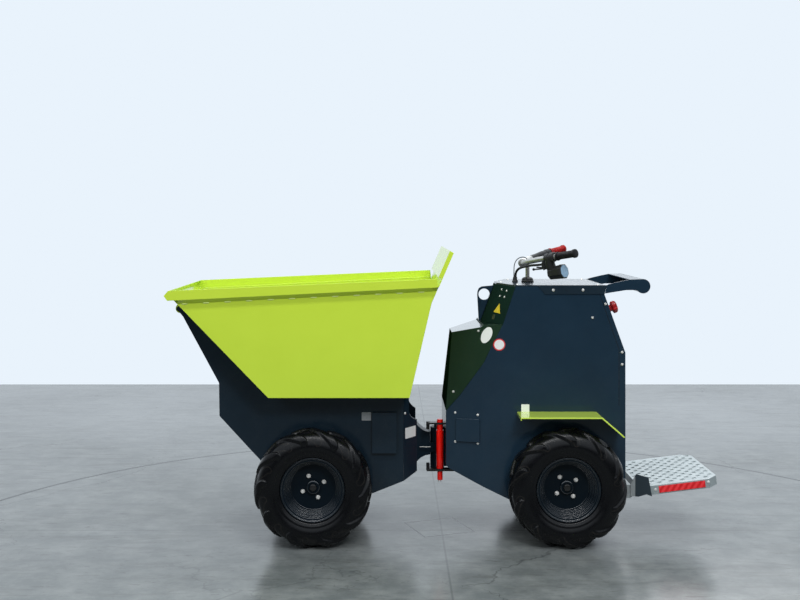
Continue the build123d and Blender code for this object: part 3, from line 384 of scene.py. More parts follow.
dusty, given, out = grouped("yard_dust", {"Base": (0.1, 0.1, 0.1), "Dust": (0.3, 0.28, 0.25), "Amount": 0.3,
                                          "Height above ground": 0.6}, {"Color": "Color", "Mask": "Float"})
where = object_place(dusty)
low = ramp(dusty, axes(dusty, where)["Z"], 0.0, given["Height above ground"], 1.0, 0.0)
patches = ramp(dusty, noise(dusty, where, 14.0, 8.0, 0.7), 0.42, 0.72)
specks = ramp(dusty, noise(dusty, where, 160.0, 3.0, 0.6), 0.45, 0.7, 0.3, 1.0)
mask = maths(dusty, MULTIPLY, maths(dusty, MULTIPLY, patches, specks), maths(dusty, MULTIPLY, low, given["Amount"]))
feed(dusty, out, Color=mixed(dusty, mask, given["Base"], given["Dust"]), Mask=mask)

rubber, tree, shader = new_material("tyre_rubber", specular=0.3)
where = object_place(tree)
dust = use_group(tree, dusty, {"Base": (0.0022, 0.0025, 0.0034), "Dust": (0.03, 0.027, 0.023), "Amount": 0.06,
                               "Height above ground": 1.1})
lug_top = node(tree, "Attribute", attribute_name="lug").outputs["Fac"]
# The lugs' flanks are mixed brownish: partly dust, partly a painted highlight of their lit sides.
flank = maths(tree, MULTIPLY, maths(tree, MULTIPLY, lug_top, maths(tree, "SUBTRACT", 1.0, lug_top)), 4.0)
flank_dust_and_highlight = maths(tree, MULTIPLY, flank, ramp(tree, noise(tree, where, 60.0), 0.35, 0.7, 0.1, 0.6))
feed(tree, shader, Base_Color=mixed(tree, flank_dust_and_highlight, dust["Color"], (0.035, 0.031, 0.027)),
     Roughness=ramp(tree, noise(tree, where, 30.0, 6.0), 0.3, 0.7, 0.22, 0.34))
grain = maths(tree, ADD, noise(tree, where, 900.0, 2.0), maths(tree, MULTIPLY, noise(tree, where, 160.0, 3.0), 1.5))
bumped(tree, shader, grain, 0.0001)

TYRES = [  # the wheel, where the left row's lugs start round the wheel
    ("front_left", math.radians(4.0)), ("front_right", math.radians(17.0)),
    ("rear_left", math.radians(26.5)), ("rear_right", math.radians(9.0)),
]
for wheel, notch in TYRES:
    points, on = tyre_surface(JOINT_AT["spin_" + wheel], notch)
    ring = points[[0, -1]].copy()
    centre = np.array(JOINT_AT["spin_" + wheel])
    spoke = ring - centre
    radial = np.hypot(spoke[..., 0], spoke[..., 2])[..., None]
    ring[..., ::2] = centre[::2] + spoke[..., ::2] / radial * BEAD_IN_R * MM
    shell = np.concatenate([ring[:1], points, ring[1:], ring[:1]])
    tyre = piece("tread_" + wheel, [surface(shell)], rubber, "wheel_" + wheel, 180.0, 1e-6)
    marks = np.concatenate([np.zeros((1, AROUND)), on, np.zeros((1, AROUND))]).ravel()
    held = tyre.data.attributes.new("lug", "FLOAT", "POINT")
    held.data.foreach_set("value", marks[:len(tyre.data.vertices)].astype(np.float32))
    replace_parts(tyre, "tyre_" + wheel)

# ------------------------------------------------------------------ rims and hubs
# Pressed steel dishes with stepped walls, welded and painted dark blue-grey, held to each
# hub by four plated bolts round a castellated nut. The enamel is darkened further as painted
# shade of the recessed dish.
RIM_PROFILE = [  # radius and distance out from the mid-plane, mm
    (24.0, -15.0), (100.5, -15.0), (101.5, 3.0), (108.0, 3.0), (109.0, 18.0), (115.0, 18.0), (116.0, 33.0),
    (122.0, 33.0), (123.5, 47.0), (133.0, 47.0), (134.5, 53.8), (140.0, 53.8), (140.0, 46.0), (128.0, 46.0),
    (128.0, -46.0), (140.0, -46.0), (140.0, -53.8), (134.5, -53.8), (133.0, -48.0), (122.0, -48.0),
    (121.0, -24.0), (24.0, -24.0), (24.0, -15.0)]


def rounded(points, radius):
    """Each corner of an open line cut back by radius and bridged by a short curve."""
    points = np.asarray(points)
    line = [points[:1]]
    for a, b, c in zip(points[:-2], points[1:-1], points[2:]):
        back, on = a - b, c - b
        reach = min(radius, 0.45 * np.linalg.norm(back), 0.45 * np.linalg.norm(on))
        p, q = b + back / np.linalg.norm(back) * reach, b + on / np.linalg.norm(on) * reach
        t = np.linspace(0.0, 1.0, 4)[:, None]
        line.append((1 - t) ** 2 * p + 2 * t * (1 - t) * b + t ** 2 * q)
    return np.vstack(line + [points[-1:]])


def turned(profile, at, axis, count=32, scale=MM, start=0.0):
    """A profile of (radius, height) carried round an axis through at; height runs along the axis."""
    axis = np.array(axis, float) / np.linalg.norm(axis)
    side = np.cross(axis, (0.0, 0.0, 1.0) if abs(axis[2]) < 0.9 else (1.0, 0.0, 0.0))
    side /= np.linalg.norm(side)
    up = np.cross(axis, side)
    angle = np.linspace(0.0, 2 * np.pi, count, endpoint=False) + start
    ring = np.cos(angle)[:, None] * side + np.sin(angle)[:, None] * up
    profile = np.asarray(profile, float) * scale
    return surface(np.array(at) + profile[:, 0, None, None] * ring + profile[:, 1, None, None] * axis)


dull_zinc, given, out = grouped("zinc_bloom", {"Bright": (0.7, 0.7, 0.7), "Dark": (0.4, 0.4, 0.4), "Spangle": 90.0,
                                               "Streaks": 0.3},
                                {"Color": "Color", "Roughness": "Float", "Height": "Float"})
where = object_place(dull_zinc)
crystal = node(dull_zinc, "TexVoronoi", {"Vector": where, "Scale": given["Spangle"], "Randomness": 1.0})
shine = node(dull_zinc, "SeparateColor", {0: crystal.outputs["Color"]}).outputs[0]
cloud = noise(dull_zinc, where, 18.0, 5.0, 0.6, 0.5)
streak = maths(dull_zinc, MULTIPLY, ramp(dull_zinc, cloud, 0.35, 0.7), given["Streaks"])
tone = maths(dull_zinc, ADD, maths(dull_zinc, MULTIPLY, shine, 0.35), streak)
feed(dull_zinc, out, Color=mixed(dull_zinc, tone, given["Bright"], given["Dark"]),
     Roughness=ramp(dull_zinc, tone, 0.0, 0.8, 0.26, 0.5),
     Height=maths(dull_zinc, ADD, shine, noise(dull_zinc, where, 500.0, 2.0)))


def plated(name, bright, dark, spangle, streaks, metallic=0.85):
    """Bare or plated metal with its crystals and clouded patches."""
    made, tree, shader = new_material(name, metallic)
    skin = use_group(tree, dull_zinc, {"Bright": bright, "Dark": dark, "Spangle": spangle, "Streaks": streaks})
    feed(tree, shader, Base_Color=skin["Color"], Roughness=skin["Roughness"])
    bumped(tree, shader, skin["Height"], 0.00008)
    return made


sprayed, given, out = grouped("sprayed_paint", {"Paint": (0.1, 0.1, 0.1), "Shade": (0.1, 0.1, 0.1),
                                                "Dustiness": 0.2, "Gloss roughness": 0.2},
                              {"Color": "Color", "Roughness": "Float", "Height": "Float"})
where = object_place(sprayed)
mottle = ramp(sprayed, noise(sprayed, where, 5.0, 6.0, 0.6, 0.3), 0.3, 0.75)
grime = use_group(sprayed, dusty, {
    "Base": mixed(sprayed, mottle, given["Paint"], given["Shade"]), "Dust": (0.30, 0.29, 0.26),
    "Amount": given["Dustiness"], "Height above ground": 1.4})
smear = maths(sprayed, MULTIPLY, noise(sprayed, where, 9.0, 5.0, 0.65), 0.08)
rough = maths(sprayed, ADD, given["Gloss roughness"], maths(sprayed, ADD, smear, grime["Mask"]))
feed(sprayed, out, Color=grime["Color"], Roughness=rough, Height=noise(sprayed, where, 420.0, 3.0, 0.5))


def enamel(tree, paint, shade, dustiness, gloss):
    """Sprayed enamel on steel: soft mottling, orange peel, and a little dust low down."""
    return use_group(tree, sprayed, {"Paint": paint, "Shade": shade, "Dustiness": dustiness,
                                     "Gloss roughness": gloss})


def painted(name, paint, shade, dustiness=0.2, gloss=0.12, coat=0.25, peel=0.00004, specular=0.5):
    """A material that is one enamel all over."""
    made, tree, shader = new_material(name, coat=coat, coat_roughness=0.08, specular=specular)
    skin = enamel(tree, paint, shade, dustiness, gloss)
    feed(tree, shader, Base_Color=skin["Color"], Roughness=skin["Roughness"])
    bumped(tree, shader, skin["Height"], peel)
    return made


# The rims' enamel is darker still: painted shade of the recessed dish.
shaded_rim_paint, tree, shader = new_material("rim_enamel_painted_shade", coat_roughness=0.2)
skin = enamel(tree, (0.0034, 0.0075, 0.0125), (0.0026, 0.006, 0.0095), 0.01, 0.16)
facing = axes(tree, node(tree, "TexCoord").outputs["Normal"])["Y"]
edges = ramp(tree, maths(tree, "ABSOLUTE", facing), 0.9, 0.985, 1.0, 0.0)
feed(tree, shader, Base_Color=skin["Color"], Roughness=skin["Roughness"], Coat_Weight=edges,
     Specular_IOR_Level=ramp(tree, edges, 0.0, 1.0, 0.12, 1.0))
zinc_bolt = plated("zinc_plate", (0.86, 0.86, 0.84), (0.52, 0.52, 0.50), 220.0, 0.5, 0.4)
dark_steel = painted("black_enamel", (0.009, 0.0095, 0.0105), (0.006, 0.0065, 0.007), 0.12, 0.22, 0.1)

HEAD_HEX = [(0.0, 2.0), (8.6, 2.0), (8.6, 7.2), (6.4, 9.2), (0.0, 9.6)]     # for an M10, mm
WASHER = [(0.0, 0.0), (9.6, 0.0), (9.6, 1.4), (9.0, 2.0), (0.0, 2.0)]
RIM_BOLTS = [  # the wheel, its outward side, its bolts' turn in degrees
    ("front_left", -1, 24.0), ("front_right", 1, 24.0), ("rear_left", -1, 35.0), ("rear_right", 1, 35.0),
]
NUT = [(0.0, 0.0), (15.0, 0.0), (15.0, 9.0), (12.5, 10.5), (12.5, 15.5), (9.0, 16.0), (9.0, 17.0), (0.0, 17.0)]
HUB = rounded([(0.0, -46.0), (29.0, -46.0), (29.0, 0.0), (25.0, 2.0), (18.0, 2.0), (17.0, 0.0), (0.0, 0.0)], 1.0)
BOLT_CIRCLE_R, DISC_FACE = 0.051, -0.015
for wheel, side, first in RIM_BOLTS:
    centre, outwards = np.array(JOINT_AT["spin_" + wheel]), np.array((0.0, side, 0.0))
    dish = turned(rounded(RIM_PROFILE, 2.2), centre, outwards, 96)
    hub = turned(HUB, centre, outwards, 48)
    rim = piece("dish_" + wheel, [dish, hub], shaded_rim_paint, "wheel_" + wheel, 40.0)
    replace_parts(rim, "rim_" + wheel)
    heads = []
    for i in range(4):
        a = math.radians(first + 90.0 * i)
        at = centre + BOLT_CIRCLE_R * np.array((math.cos(a), 0.0, math.sin(a))) + outwards * DISC_FACE
        heads += [turned(WASHER, at, outwards, 24), turned(HEAD_HEX, at, outwards, 6, start=a)]
    piece("bolts_" + wheel, heads, zinc_bolt, "wheel_" + wheel, 25.0)
    piece("hub_nut_" + wheel, [turned(NUT, centre, outwards, 12)], dark_steel, "wheel_" + wheel, 25.0)

for axle in ("front_axle", "rear_axle"):
    frame["nodes"][axle].data.materials.clear()
    frame["nodes"][axle].data.materials.append(dark_steel)

# ------------------------------------------------------------------ painted sheet and plate
# Folded and welded steel: the chassis, rear body, deck and rail in blue-grey enamel, and the
# chassis sides, nose plate and pump cover in a darker copy of it, painted shade under the skip.
# The front cover is dark grey tinted green, the tint a painted reflection of the lime skip. The
# skip is lime, and the mudguards a lighter lime, a painted sheen on their grazing tops. Broken
# edges take the light.
anthracite = painted("anthracite_enamel", (0.0115, 0.029, 0.050), (0.0092, 0.0235, 0.041),
                     0.03, 0.1, 0.05, 0.00002, 0.4)
deck_enamel = painted("deck_enamel", (0.012, 0.025, 0.038), (0.010, 0.020, 0.031), 0.06, 0.15)
lime = painted("lime_enamel", (0.55, 0.735, 0.056), (0.52, 0.70, 0.05), 0.0, 0.14, 0.35, 0.000004)
red_enamel = painted("red_enamel", (0.95, 0.009, 0.003), (0.82, 0.007, 0.002), 0.03)


def dress(names, finish, edge=0.0012):
    """A finish on CAD nodes, their loose triangles welded and their edges broken by a bevel."""
    for name in names.split():
        obj = frame["nodes"][name]
        obj.data.materials.clear()
        obj.data.materials.append(finish)
        if edge:
            weld = obj.modifiers.new("weld", "WELD")
            weld.merge_threshold = 2e-5
            bevel = obj.modifiers.new("broken_edge", "BEVEL")
            bevel.width, bevel.segments, bevel.limit_method = edge, 2, "ANGLE"
            bevel.angle_limit = math.radians(25.0)


satin = painted("satin_anthracite", (0.0085, 0.0205, 0.034), (0.0068, 0.016, 0.027), 0.06, 0.3, 0.0, 0.00004, 0.12)
# A darker copy of the blue-grey enamel for the chassis sides, nose plate and pump cover: painted shade under the
# skip.
shaded = painted("chassis_enamel_painted_shade", (0.0078, 0.0175, 0.0285), (0.0062, 0.014, 0.023), 0.04, 0.12, 0.05, 0.00002, 0.35)
dress("chassis_side_left chassis_side_right nose_plate pump_cover", shaded)
dress("crossmembers tongue pivot_fork", satin)
dress("rear_body lifting_eye rear_rail", anthracite, 0.0016)
# The cover's enamel is dark grey tinted green: the green is a painted reflection of the lime skip.
cover_enamel_painted_reflection, tree, shader = new_material("cover_enamel_painted_reflection", specular=0.4)
skin = enamel(tree, (0.0098, 0.0275, 0.020), (0.0078, 0.022, 0.016), 0.03, 0.1)
facing = axes(tree, node(tree, "NewGeometry").outputs["Normal"])
nose_side = ramp(tree, facing["X"], -0.9, -0.6, 1.0, 0.0)
feed(tree, shader, Base_Color=skin["Color"], Specular_IOR_Level=ramp(tree, nose_side, 0.0, 1.0, 0.4, 0.0),
     Coat_Weight=ramp(tree, facing["Z"], 0.7, 0.9),
     Roughness=maths(tree, MAXIMUM, skin["Roughness"], maths(tree, MULTIPLY, nose_side, 0.9)))
bumped(tree, shader, skin["Height"], 0.00002)
dress("front_cover", cover_enamel_painted_reflection, 0.0016)
dress("top_deck", deck_enamel, 0.001)
dress("skip_tub headboard skip_rim skip_lugs", lime, 0.001)
# The mudguards' lime is lighter than the skip's: a painted sheen on their tops, seen at a grazing angle.
lit_guard_lime = painted("mudguard_lime_painted_sheen", (0.62, 0.82, 0.10), (0.59, 0.78, 0.09), 0.0, 0.14, 0.8, 0.000004)
dress("mudguards", lit_guard_lime, 0.001)
dress("lock_bar", red_enamel, 0.0015)
dress("lock_brackets", dark_steel, 0.001)


def from_pivot(points):
    """Millimetre points behind the pivot, across, and above the ground, in metres."""
    return np.array(points, float) * MM + (PIVOT_X, 0.0, 0.0)


LOCK_HEAD = [(0.0, 472.0), (13.8, 472.0), (14.4, 474.0), (14.4, 511.0), (11.0, 517.5), (0.0, 517.5)]
head = turned(LOCK_HEAD, from_pivot((9.0, -115.0, 0.0)), (0, 0, 1), 28)
piece("lock_bar_head", [head], red_enamel, "rear_unit", 40.0)

# ------------------------------------------------------------------ bolts and plates on the sheet
# Plated hexagon bolts hold the covers and hatches. Each stands where it is driven: a ray from
# outside finds the sheet and the way that it faces.
bpy.context.view_layer.update()


def spot_on(name, start, direction):
    """Where a ray from start meets a CAD node, and the face's normal there."""
    hit, at, normal, _ = frame["nodes"][name].ray_cast(start, direction)
    if not hit:
        raise ValueError(f"no face of {name} beyond {start}")
    return np.array(at), np.array(normal)


def from_left(name, x, z):
    """A spot on the left side, from millimetres behind the pivot and above the ground."""
    return spot_on(name, from_pivot((x, -1000.0, z)), (0.0, 1.0, 0.0))


def from_right(name, x, z):
    return spot_on(name, from_pivot((x, 1000.0, z)), (0.0, -1.0, 0.0))


def from_above(name, x, y):
    return spot_on(name, from_pivot((x, y, 2000.0)), (0.0, 0.0, -1.0))


def from_behind(name, y, z):
    return spot_on(name, (2.0, y * MM, z * MM), (-1.0, 0.0, 0.0))


HEAD_TURN = 0.3
DOME = [(0.0, 0.0), (8.0, 0.0), (7.6, 1.6), (6.2, 3.2), (3.8, 4.3), (0.0, 4.7)]


def bolt(spot, size=1.0):
    """A washer and a hexagon head on a face; size 1 is an M10."""
    at, normal = spot
    return [turned(WASHER, at, normal, 20, MM * size), turned(HEAD_HEX, at, normal, 6, MM * size, HEAD_TURN)]


def dome(spot, size=1.0):
    """A button head on a face."""
    return [turned(DOME, spot[0], spot[1], 16, MM * size)]


heads = []
for side in (from_left, from_right):
    for x, z in ((740, 1053), (682, 992), (814, 838), (814, 784)):
        heads += bolt(side("rear_body", x, z), 0.62)
    for x, z in ((507, 1115), (639, 1115)):
        heads += dome(side("top_deck", x, z), 0.8)
    for x, z in ((73, 564), (172, 558), (73, 434), (172, 431)):
        heads += dome(side("rear_body", x, z), 0.7)
    heads += bolt(side("front_cover", 66, 655), 0.6)
    heads += bolt(side("front_cover", 180, 926), 0.55)
    for x, z in ((290, 1110), (307, 1107), (281, 1080), (297, 1079)):
        heads += dome(side("front_cover", x, z), 0.62)
for x, y in ((300, 0), (352, -205), (352, 205), (712, -205), (712, 205)):
    heads += dome(from_above("top_deck", x, y), 0.8)
for y in (-200, 200):
    for z in (240, 520, 800):
        heads += dome(from_behind("rear_body", y, z), 0.8)
piece("cover_bolts", heads, zinc_bolt, "rear_unit", 25.0)

heads = dome(from_left("crossmembers", -152, 565), 0.8) + dome(from_right("crossmembers", -152, 565), 0.8)
piece("chassis_bolts", heads, zinc_bolt, "front_unit", 25.0)

plate_face, tree, shader = new_material("printed_film", coat=0.3)
where = object_place(tree)
tint = node(tree, "Attribute", attribute_name="tint").outputs["Color"]
worn = ramp(tree, noise(tree, where, 40.0, 5.0), 0.4, 0.75, 0.0, 0.12)
feed(tree, shader, Base_Color=mixed(tree, worn, tint, (0.45, 0.45, 0.43)),
     Roughness=ramp(tree, noise(tree, where, 120.0), 0.3, 0.7, 0.25, 0.4))
bumped(tree, shader, noise(tree, where, 300.0, 2.0), 0.00004)


def film(spot, outline, thick=0.0005):
    """A thin blank plate on a face: outline is (along, up) in mm, the face's own level line and slope."""
    at, normal = spot
    along = np.cross((0.0, 0.0, 1.0), normal)
    along /= np.linalg.norm(along)
    up = np.cross(normal, along)
    flat = at + (outline[:, :1] * along + outline[:, 1:] * up) * MM
    middle = np.broadcast_to(flat.mean(axis=0), flat.shape)
    rows = [middle, flat, flat + normal * thick, middle + normal * thick]
    return surface(np.stack(rows))


def square(width, height, corner=3.0):
    """A rectangle with round corners, as (along, up) points."""
    a = np.linspace(0.0, np.pi / 2, 4)
    arc = np.stack([np.cos(a), np.sin(a)], axis=1) * corner
    quarters = []
    for i, (sx, sy) in enumerate(((1, 1), (-1, 1), (-1, -1), (1, -1))):
        turn = i * np.pi / 2
        spin = np.array([(np.cos(turn), np.sin(turn)), (-np.sin(turn), np.cos(turn))])
        quarters.append(arc @ spin + (sx * (width / 2 - corner), sy * (height / 2 - corner)))
    return np.vstack(quarters)


def oval(width, height, count=32):
    """An ellipse of (along, up) points: half the width times the cosine, half the height times the sine."""
    a = np.linspace(0.0, 2 * np.pi, count, endpoint=False)
    return np.stack([np.cos(a) * width / 2, np.sin(a) * height / 2], axis=1)


def tinted(obj, colour):
    """The plate's one printed colour, kept as an attribute."""
    held = obj.data.attributes.new("tint", "FLOAT_COLOR", "POINT")
    held.data.foreach_set("color", np.tile((*colour, 1.0), len(obj.data.vertices)).astype(np.float32))


WHITE, GREY, SHADE_BLACK = (0.80, 0.82, 0.82), (0.20, 0.215, 0.23), (0.002, 0.002, 0.002)
YELLOW, RED = (0.85, 0.62, 0.02), (0.62, 0.02, 0.02)
triangle = np.array([(-34.0, -18.0), (34.0, -20.0), (2.0, 25.0)])
slanted_oval = oval(55, 74) @ [(1.0, 0.0), (0.2, 1.0)]
PLATES = [  # name, body, its colour, the spot and outline of each
    ("grey_plate", "front_unit", GREY, [(from_left("chassis_side_left", -324, 553), square(42, 37))]),
    ("white_plate_front", "front_unit", WHITE, [(from_left("crossmembers", -127, 474), square(82, 48))]),
    ("white_plates_rear", "rear_unit", WHITE, [
        (from_left("rear_body", 383, 588), square(36, 37)), (from_left("front_cover", 214, 911), slanted_oval)]),
    ("red_ring_plate", "rear_unit", RED, [(from_left("rear_body", 267, 872), oval(54, 54))]),
    ("yellow_plate", "rear_unit", YELLOW, [(from_left("front_cover", 270, 1024), triangle)]),
    # The latch slot is a black film on the cover: painted shade inside the slot.
    ("latch_slot_painted_shade", "rear_unit", SHADE_BLACK, [(from_left("front_cover", 252, 986), square(24, 23, 2.0))]),
]
for name, body, colour, spots in PLATES:
    tinted(piece(name, [film(*s) for s in spots], plate_face, body, 20.0), colour)
inner = piece("white_disc_plate", [film(from_left("rear_body", 267, 872), oval(44, 44), 0.0009)], plate_face,
              "rear_unit", 20.0)
tinted(inner, WHITE)

# Each side's hatch is a pressed lid standing eight millimetres proud, and a seam runs down the
# side panel beside its rear edge, where it laps over the rear frame.
lids = [film(side("rear_body", 129, 488.5), square(108, 103, 5.0), 0.008) for side in (from_left, from_right)]
lid = piece("hatch_lids", lids, anthracite, "rear_unit", 20.0)
crisp = lid.modifiers.new("broken_edge", "BEVEL")
crisp.width, crisp.segments = 0.0015, 2
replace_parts(lid, "side_hatches")
SEAM = [((716, 1092), (800, 852)), ((800, 852), (800, 600))]
seams = []
for side, turn in ((from_left, 1), (from_right, -1)):
    for (ax, az), (bx, bz) in SEAM:
        ends = np.array([(ax - 1.0, az), (ax + 1.0, az), (bx + 1.0, bz), (bx - 1.0, bz)])
        middle = ends.mean(axis=0)
        seams.append(film(side("rear_body", *middle), (ends - middle) * (turn, 1), 0.0003))
piece("panel_seams", seams, dark_steel, "rear_unit", 20.0)

# ------------------------------------------------------------------ skip's stitch welds
# Under the folded band the sheet slants in to the skip's sides, and short weld beads hold
# its lower edge there every ninety-three millimetres, in a paler lime than the sheet that is a
# painted highlight.
BEAD_L, BEAD_PITCH, BEAD_R = 30.0, 93.0, 3.0
_, tub_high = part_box("skip_tub")


def bead(a, b, r):
    """A weld bead: a spindle from a to b with a rippled crest."""
    t = np.linspace(0.0, 1.0, 13)
    radius = r * np.sqrt(np.clip(1.0 - (2 * t - 1) ** 4, 0.0, 1.0)) * (1.0 + 0.10 * np.cos(t * 12 * np.pi))
    return turned(np.stack([radius, t * np.linalg.norm(b - a)], axis=1), a, b - a, 10, 1.0)


beads = []
SKIRT_FRONT, SKIRT_REAR = (-1134.0, 1063.0), (-18.0, 1118.5)
rise = (SKIRT_REAR[1] - SKIRT_FRONT[1]) / (SKIRT_REAR[0] - SKIRT_FRONT[0])
for side in (-1, 1):
    y = side * (tub_high[1] / MM + 0.8)
    for x in np.arange(SKIRT_FRONT[0] + 12.0, SKIRT_REAR[0] - BEAD_L, BEAD_PITCH):
        ends = from_pivot([(u, y, SKIRT_FRONT[1] + (u - SKIRT_FRONT[0]) * rise) for u in (x, x + BEAD_L)])
        beads.append(bead(*ends, BEAD_R * MM))
weld_lime_painted_highlight = painted("weld_lime_painted_highlight", (0.72, 0.86, 0.30), (0.6, 0.74, 0.2), 0.1, 0.2, 0.5)
piece("band_welds", beads, weld_lime_painted_highlight, "skip", 60.0)

# ------------------------------------------------------------------ tip cylinder
# A two-stage telescopic cylinder lifts the skip: a black enamelled barrel and two hard-chromed
# stages. The skip's hinge pin is black enamelled steel.
chrome, tree, shader = new_material("hard_chrome", metallic=1.0)
where = object_place(tree)
streak = noise(tree, where, 45.0, 4.0, 0.7)
feed(tree, shader, Base_Color=mixed(tree, streak, (0.62, 0.64, 0.66), (0.5, 0.52, 0.54)),
     Roughness=ramp(tree, streak, 0.3, 0.7, 0.08, 0.2))
dress("tip_stage tip_rod", chrome, 0.0)
dress("tip_barrel", dark_steel, 0.001)
dress("hinge_pin", dark_steel, 0.0008)

# ------------------------------------------------------------------ handlebar
# One bent, zinc-plated tube on a stem, with a ribbed rubber grip at each end, black on the
# left and red on the right. It turns on the steering base with the machine's front half.
BAR_AT = np.array(JOINT_AT["handlebar_turn"])
BAR_X, BAR_TURN = 423.0, math.radians(-4.8)
BEND = np.array([(398.0, 0.0, 1226.0), (404.0, 70.0, 1230.0), (455.0, 175.0, 1246.0), (531.0, 262.0, 1264.0),
                 (614.0, 345.0, 1282.0)])
LEFT = BEND[::-1] * (1, -1, 1)
BAR_R, GRIP_R, GRIP_L = 12.4, 16.2, 108.0


def played(points):
    """Millimetre points from the pivot, turned with the bar's play about its stem, in metres."""
    points = np.array(points, float)
    x, y = points[..., 0] - BAR_X, points[..., 1]
    c, s = math.cos(BAR_TURN), math.sin(BAR_TURN)
    return np.stack([BAR_AT[0] + (x * c - y * s) * MM, (x * s + y * c) * MM, points[..., 2] * MM], axis=-1)


def way(a, b):
    """The way from one millimetre point to another on the turned bar."""
    return played(b) - played(a)


def tube(line, radius, count=20):
    """A round tube along a line: each ring stands square to the line, turned as little as it can be."""
    line = np.asarray(line, float)
    run = np.gradient(line, axis=0)
    run /= np.linalg.norm(run, axis=1)[:, None]
    side = np.cross(run[0], (0.0, 0.0, 1.0) if abs(run[0][2]) < 0.9 else (1.0, 0.0, 0.0))
    sides = []
    for ahead in run:
        side = side - ahead * side.dot(ahead)
        side /= np.linalg.norm(side)
        sides.append(side)
    sides = np.array(sides)
    ups = np.cross(run, sides)
    angle = np.linspace(0.0, 2 * np.pi, count, endpoint=False)
    radius = np.broadcast_to(radius, len(line))[:, None, None]
    round_it = np.cos(angle)[:, None] * sides[:, None] + np.sin(angle)[:, None] * ups[:, None]
    rings = line[:, None] + radius * round_it
    ends = [np.broadcast_to(line[i], rings[:1].shape) for i in (0, -1)]
    return surface(np.concatenate([ends[0], rings, ends[1]]))


def path_of(points, count=60):
    """Points read from the smooth NURBS line whose control points these are."""
    curve = bpy.data.curves.new("route", "CURVE")
    curve.dimensions, curve.resolution_u = "3D", 24
    spline = curve.splines.new("NURBS")
    spline.points.add(len(points) - 1)
    for held, point in zip(spline.points, points):
        held.co = (*point, 1.0)
    spline.order_u, spline.use_endpoint_u = 3, True
    carrier = bpy.data.objects.new("route", curve)
    made = bpy.data.meshes.new_from_object(carrier)
    line = np.array([v.co for v in made.vertices])
    bpy.data.objects.remove(carrier)
    bpy.data.curves.remove(curve)
    bpy.data.meshes.remove(made)
    return even_line(line, count)


bar_zinc = plated("bar_zinc", (0.66, 0.66, 0.64), (0.42, 0.42, 0.41), 300.0, 0.4)
whole = np.vstack([BEND[::-1], LEFT[::-1][1:]])
bent = even_line(smooth_line(whole), 90)
stem = [(0.0, 0.0), (10.0, 0.0), (10.0, 98.0), (0.0, 98.0)]
bar = [tube(played(bent), BAR_R * MM, 28), turned(stem, (BAR_AT[0], 0.0, 1.1365), (0, 0, 1), 24)]
clamp = rounded([(0.0, -26.0), (21.0, -26.0), (21.0, 26.0), (0.0, 26.0)], 4.0)
CLAMP_AT = np.array((400.0, 0.0, 1226.0))
bar.append(turned(clamp, played(CLAMP_AT), way(CLAMP_AT, CLAMP_AT + (0.0, 1.0, 0.0)), 32))
handle = piece("bent_bar", bar, bar_zinc, "handlebar", 40.0)
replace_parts(handle, "handlebar_tube")

RIB_PITCH = 7.0


def grip_surface(tip, before):
    """A grip's radius along the bar: shallow ribs between a flange at its inner end and a knob at its tip."""
    run = (tip - before) / np.linalg.norm(tip - before)
    along = np.linspace(0.0, GRIP_L, 150)
    ribs = GRIP_R - 1.0 + 1.0 * np.clip(np.cos(along * 2 * np.pi / RIB_PITCH) * 1.6, -1.0, 1.0)
    flange = 3.4 * (1.0 - smoothstep(np.abs(along - 4.0), 3.0, 4.0)) + 3.2 * smoothstep(along, 95.0, 96.5)
    radius = np.where((along < 9.0) | (along > 94.0), GRIP_R, ribs) + flange
    radius[-4:] *= (0.985, 0.95, 0.85, 0.0)
    radius[0] = BAR_R
    end = tip + run * 4.7
    return turned(np.stack([radius, along], axis=1), played(end - run * GRIP_L), way(before, end), 32)


for name, line, colour, slot in (("ribbed_grip_left", LEFT[:2], (0.0065, 0.0065, 0.007), "black_rubber"),
                                 ("ribbed_grip_right", BEND[::-1][:2], (0.38, 0.008, 0.008), "red_rubber")):
    grip_finish, tree, shader = new_material(name + "_rubber", specular=0.35)
    where = object_place(tree)
    soil = noise(tree, where, 70.0, 5.0)
    dark = tuple(0.55 * c for c in colour)
    feed(tree, shader, Base_Color=mixed(tree, ramp(tree, soil, 0.35, 0.7), colour, dark),
         Roughness=ramp(tree, soil, 0.3, 0.7, 0.45, 0.62))
    bumped(tree, shader, noise(tree, where, 800.0, 2.0), 0.00015)
    grip = piece(name, [grip_surface(line[0], line[1])], grip_finish, "handlebar", 50.0)
    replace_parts(grip, name.replace("ribbed_", ""))

# ------------------------------------------------------------------ control box and switches
# A moulded octagonal housing hangs from a clamped knuckle on the left half of the bar, with a
# pale blue keypad on its outer end. A small ball-ended lever on two thin rods stands before it.
def moulded(name, tones, patches, gloss_patches, gloss, grain, depth, **coats):
    """Moulded plastic: two close tones in patches, a gloss that varies, and a fine grain."""
    made, tree, shader = new_material(name, **coats)
    where = object_place(tree)
    feed(tree, shader, Base_Color=mixed(tree, noise(tree, where, patches), *tones),
         Roughness=ramp(tree, noise(tree, where, gloss_patches), 0.3, 0.7, *gloss))
    bumped(tree, shader, noise(tree, where, *grain), depth)
    return made


plastic = moulded("moulded_plastic", ((0.011, 0.0115, 0.0125), (0.018, 0.019, 0.02)), 25.0,
                  60.0, (0.36, 0.55), (1400.0, 2.0), 0.00012, specular=0.45)
dress("steering_base", plastic, 0.0012)
BOOT = [(0.0, 0.0), (29.0, 0.0), (29.0, 6.0), (26.5, 8.0), (26.5, 13.0), (24.0, 17.5), (18.0, 21.5), (11.0, 23.0),
        (0.0, 23.0)]
piece("stem_boot", [turned(rounded(BOOT, 2.0), (BAR_AT[0], 0.0, 1.1372), (0, 0, 1), 36)], plastic,
      "rear_unit", 40.0)

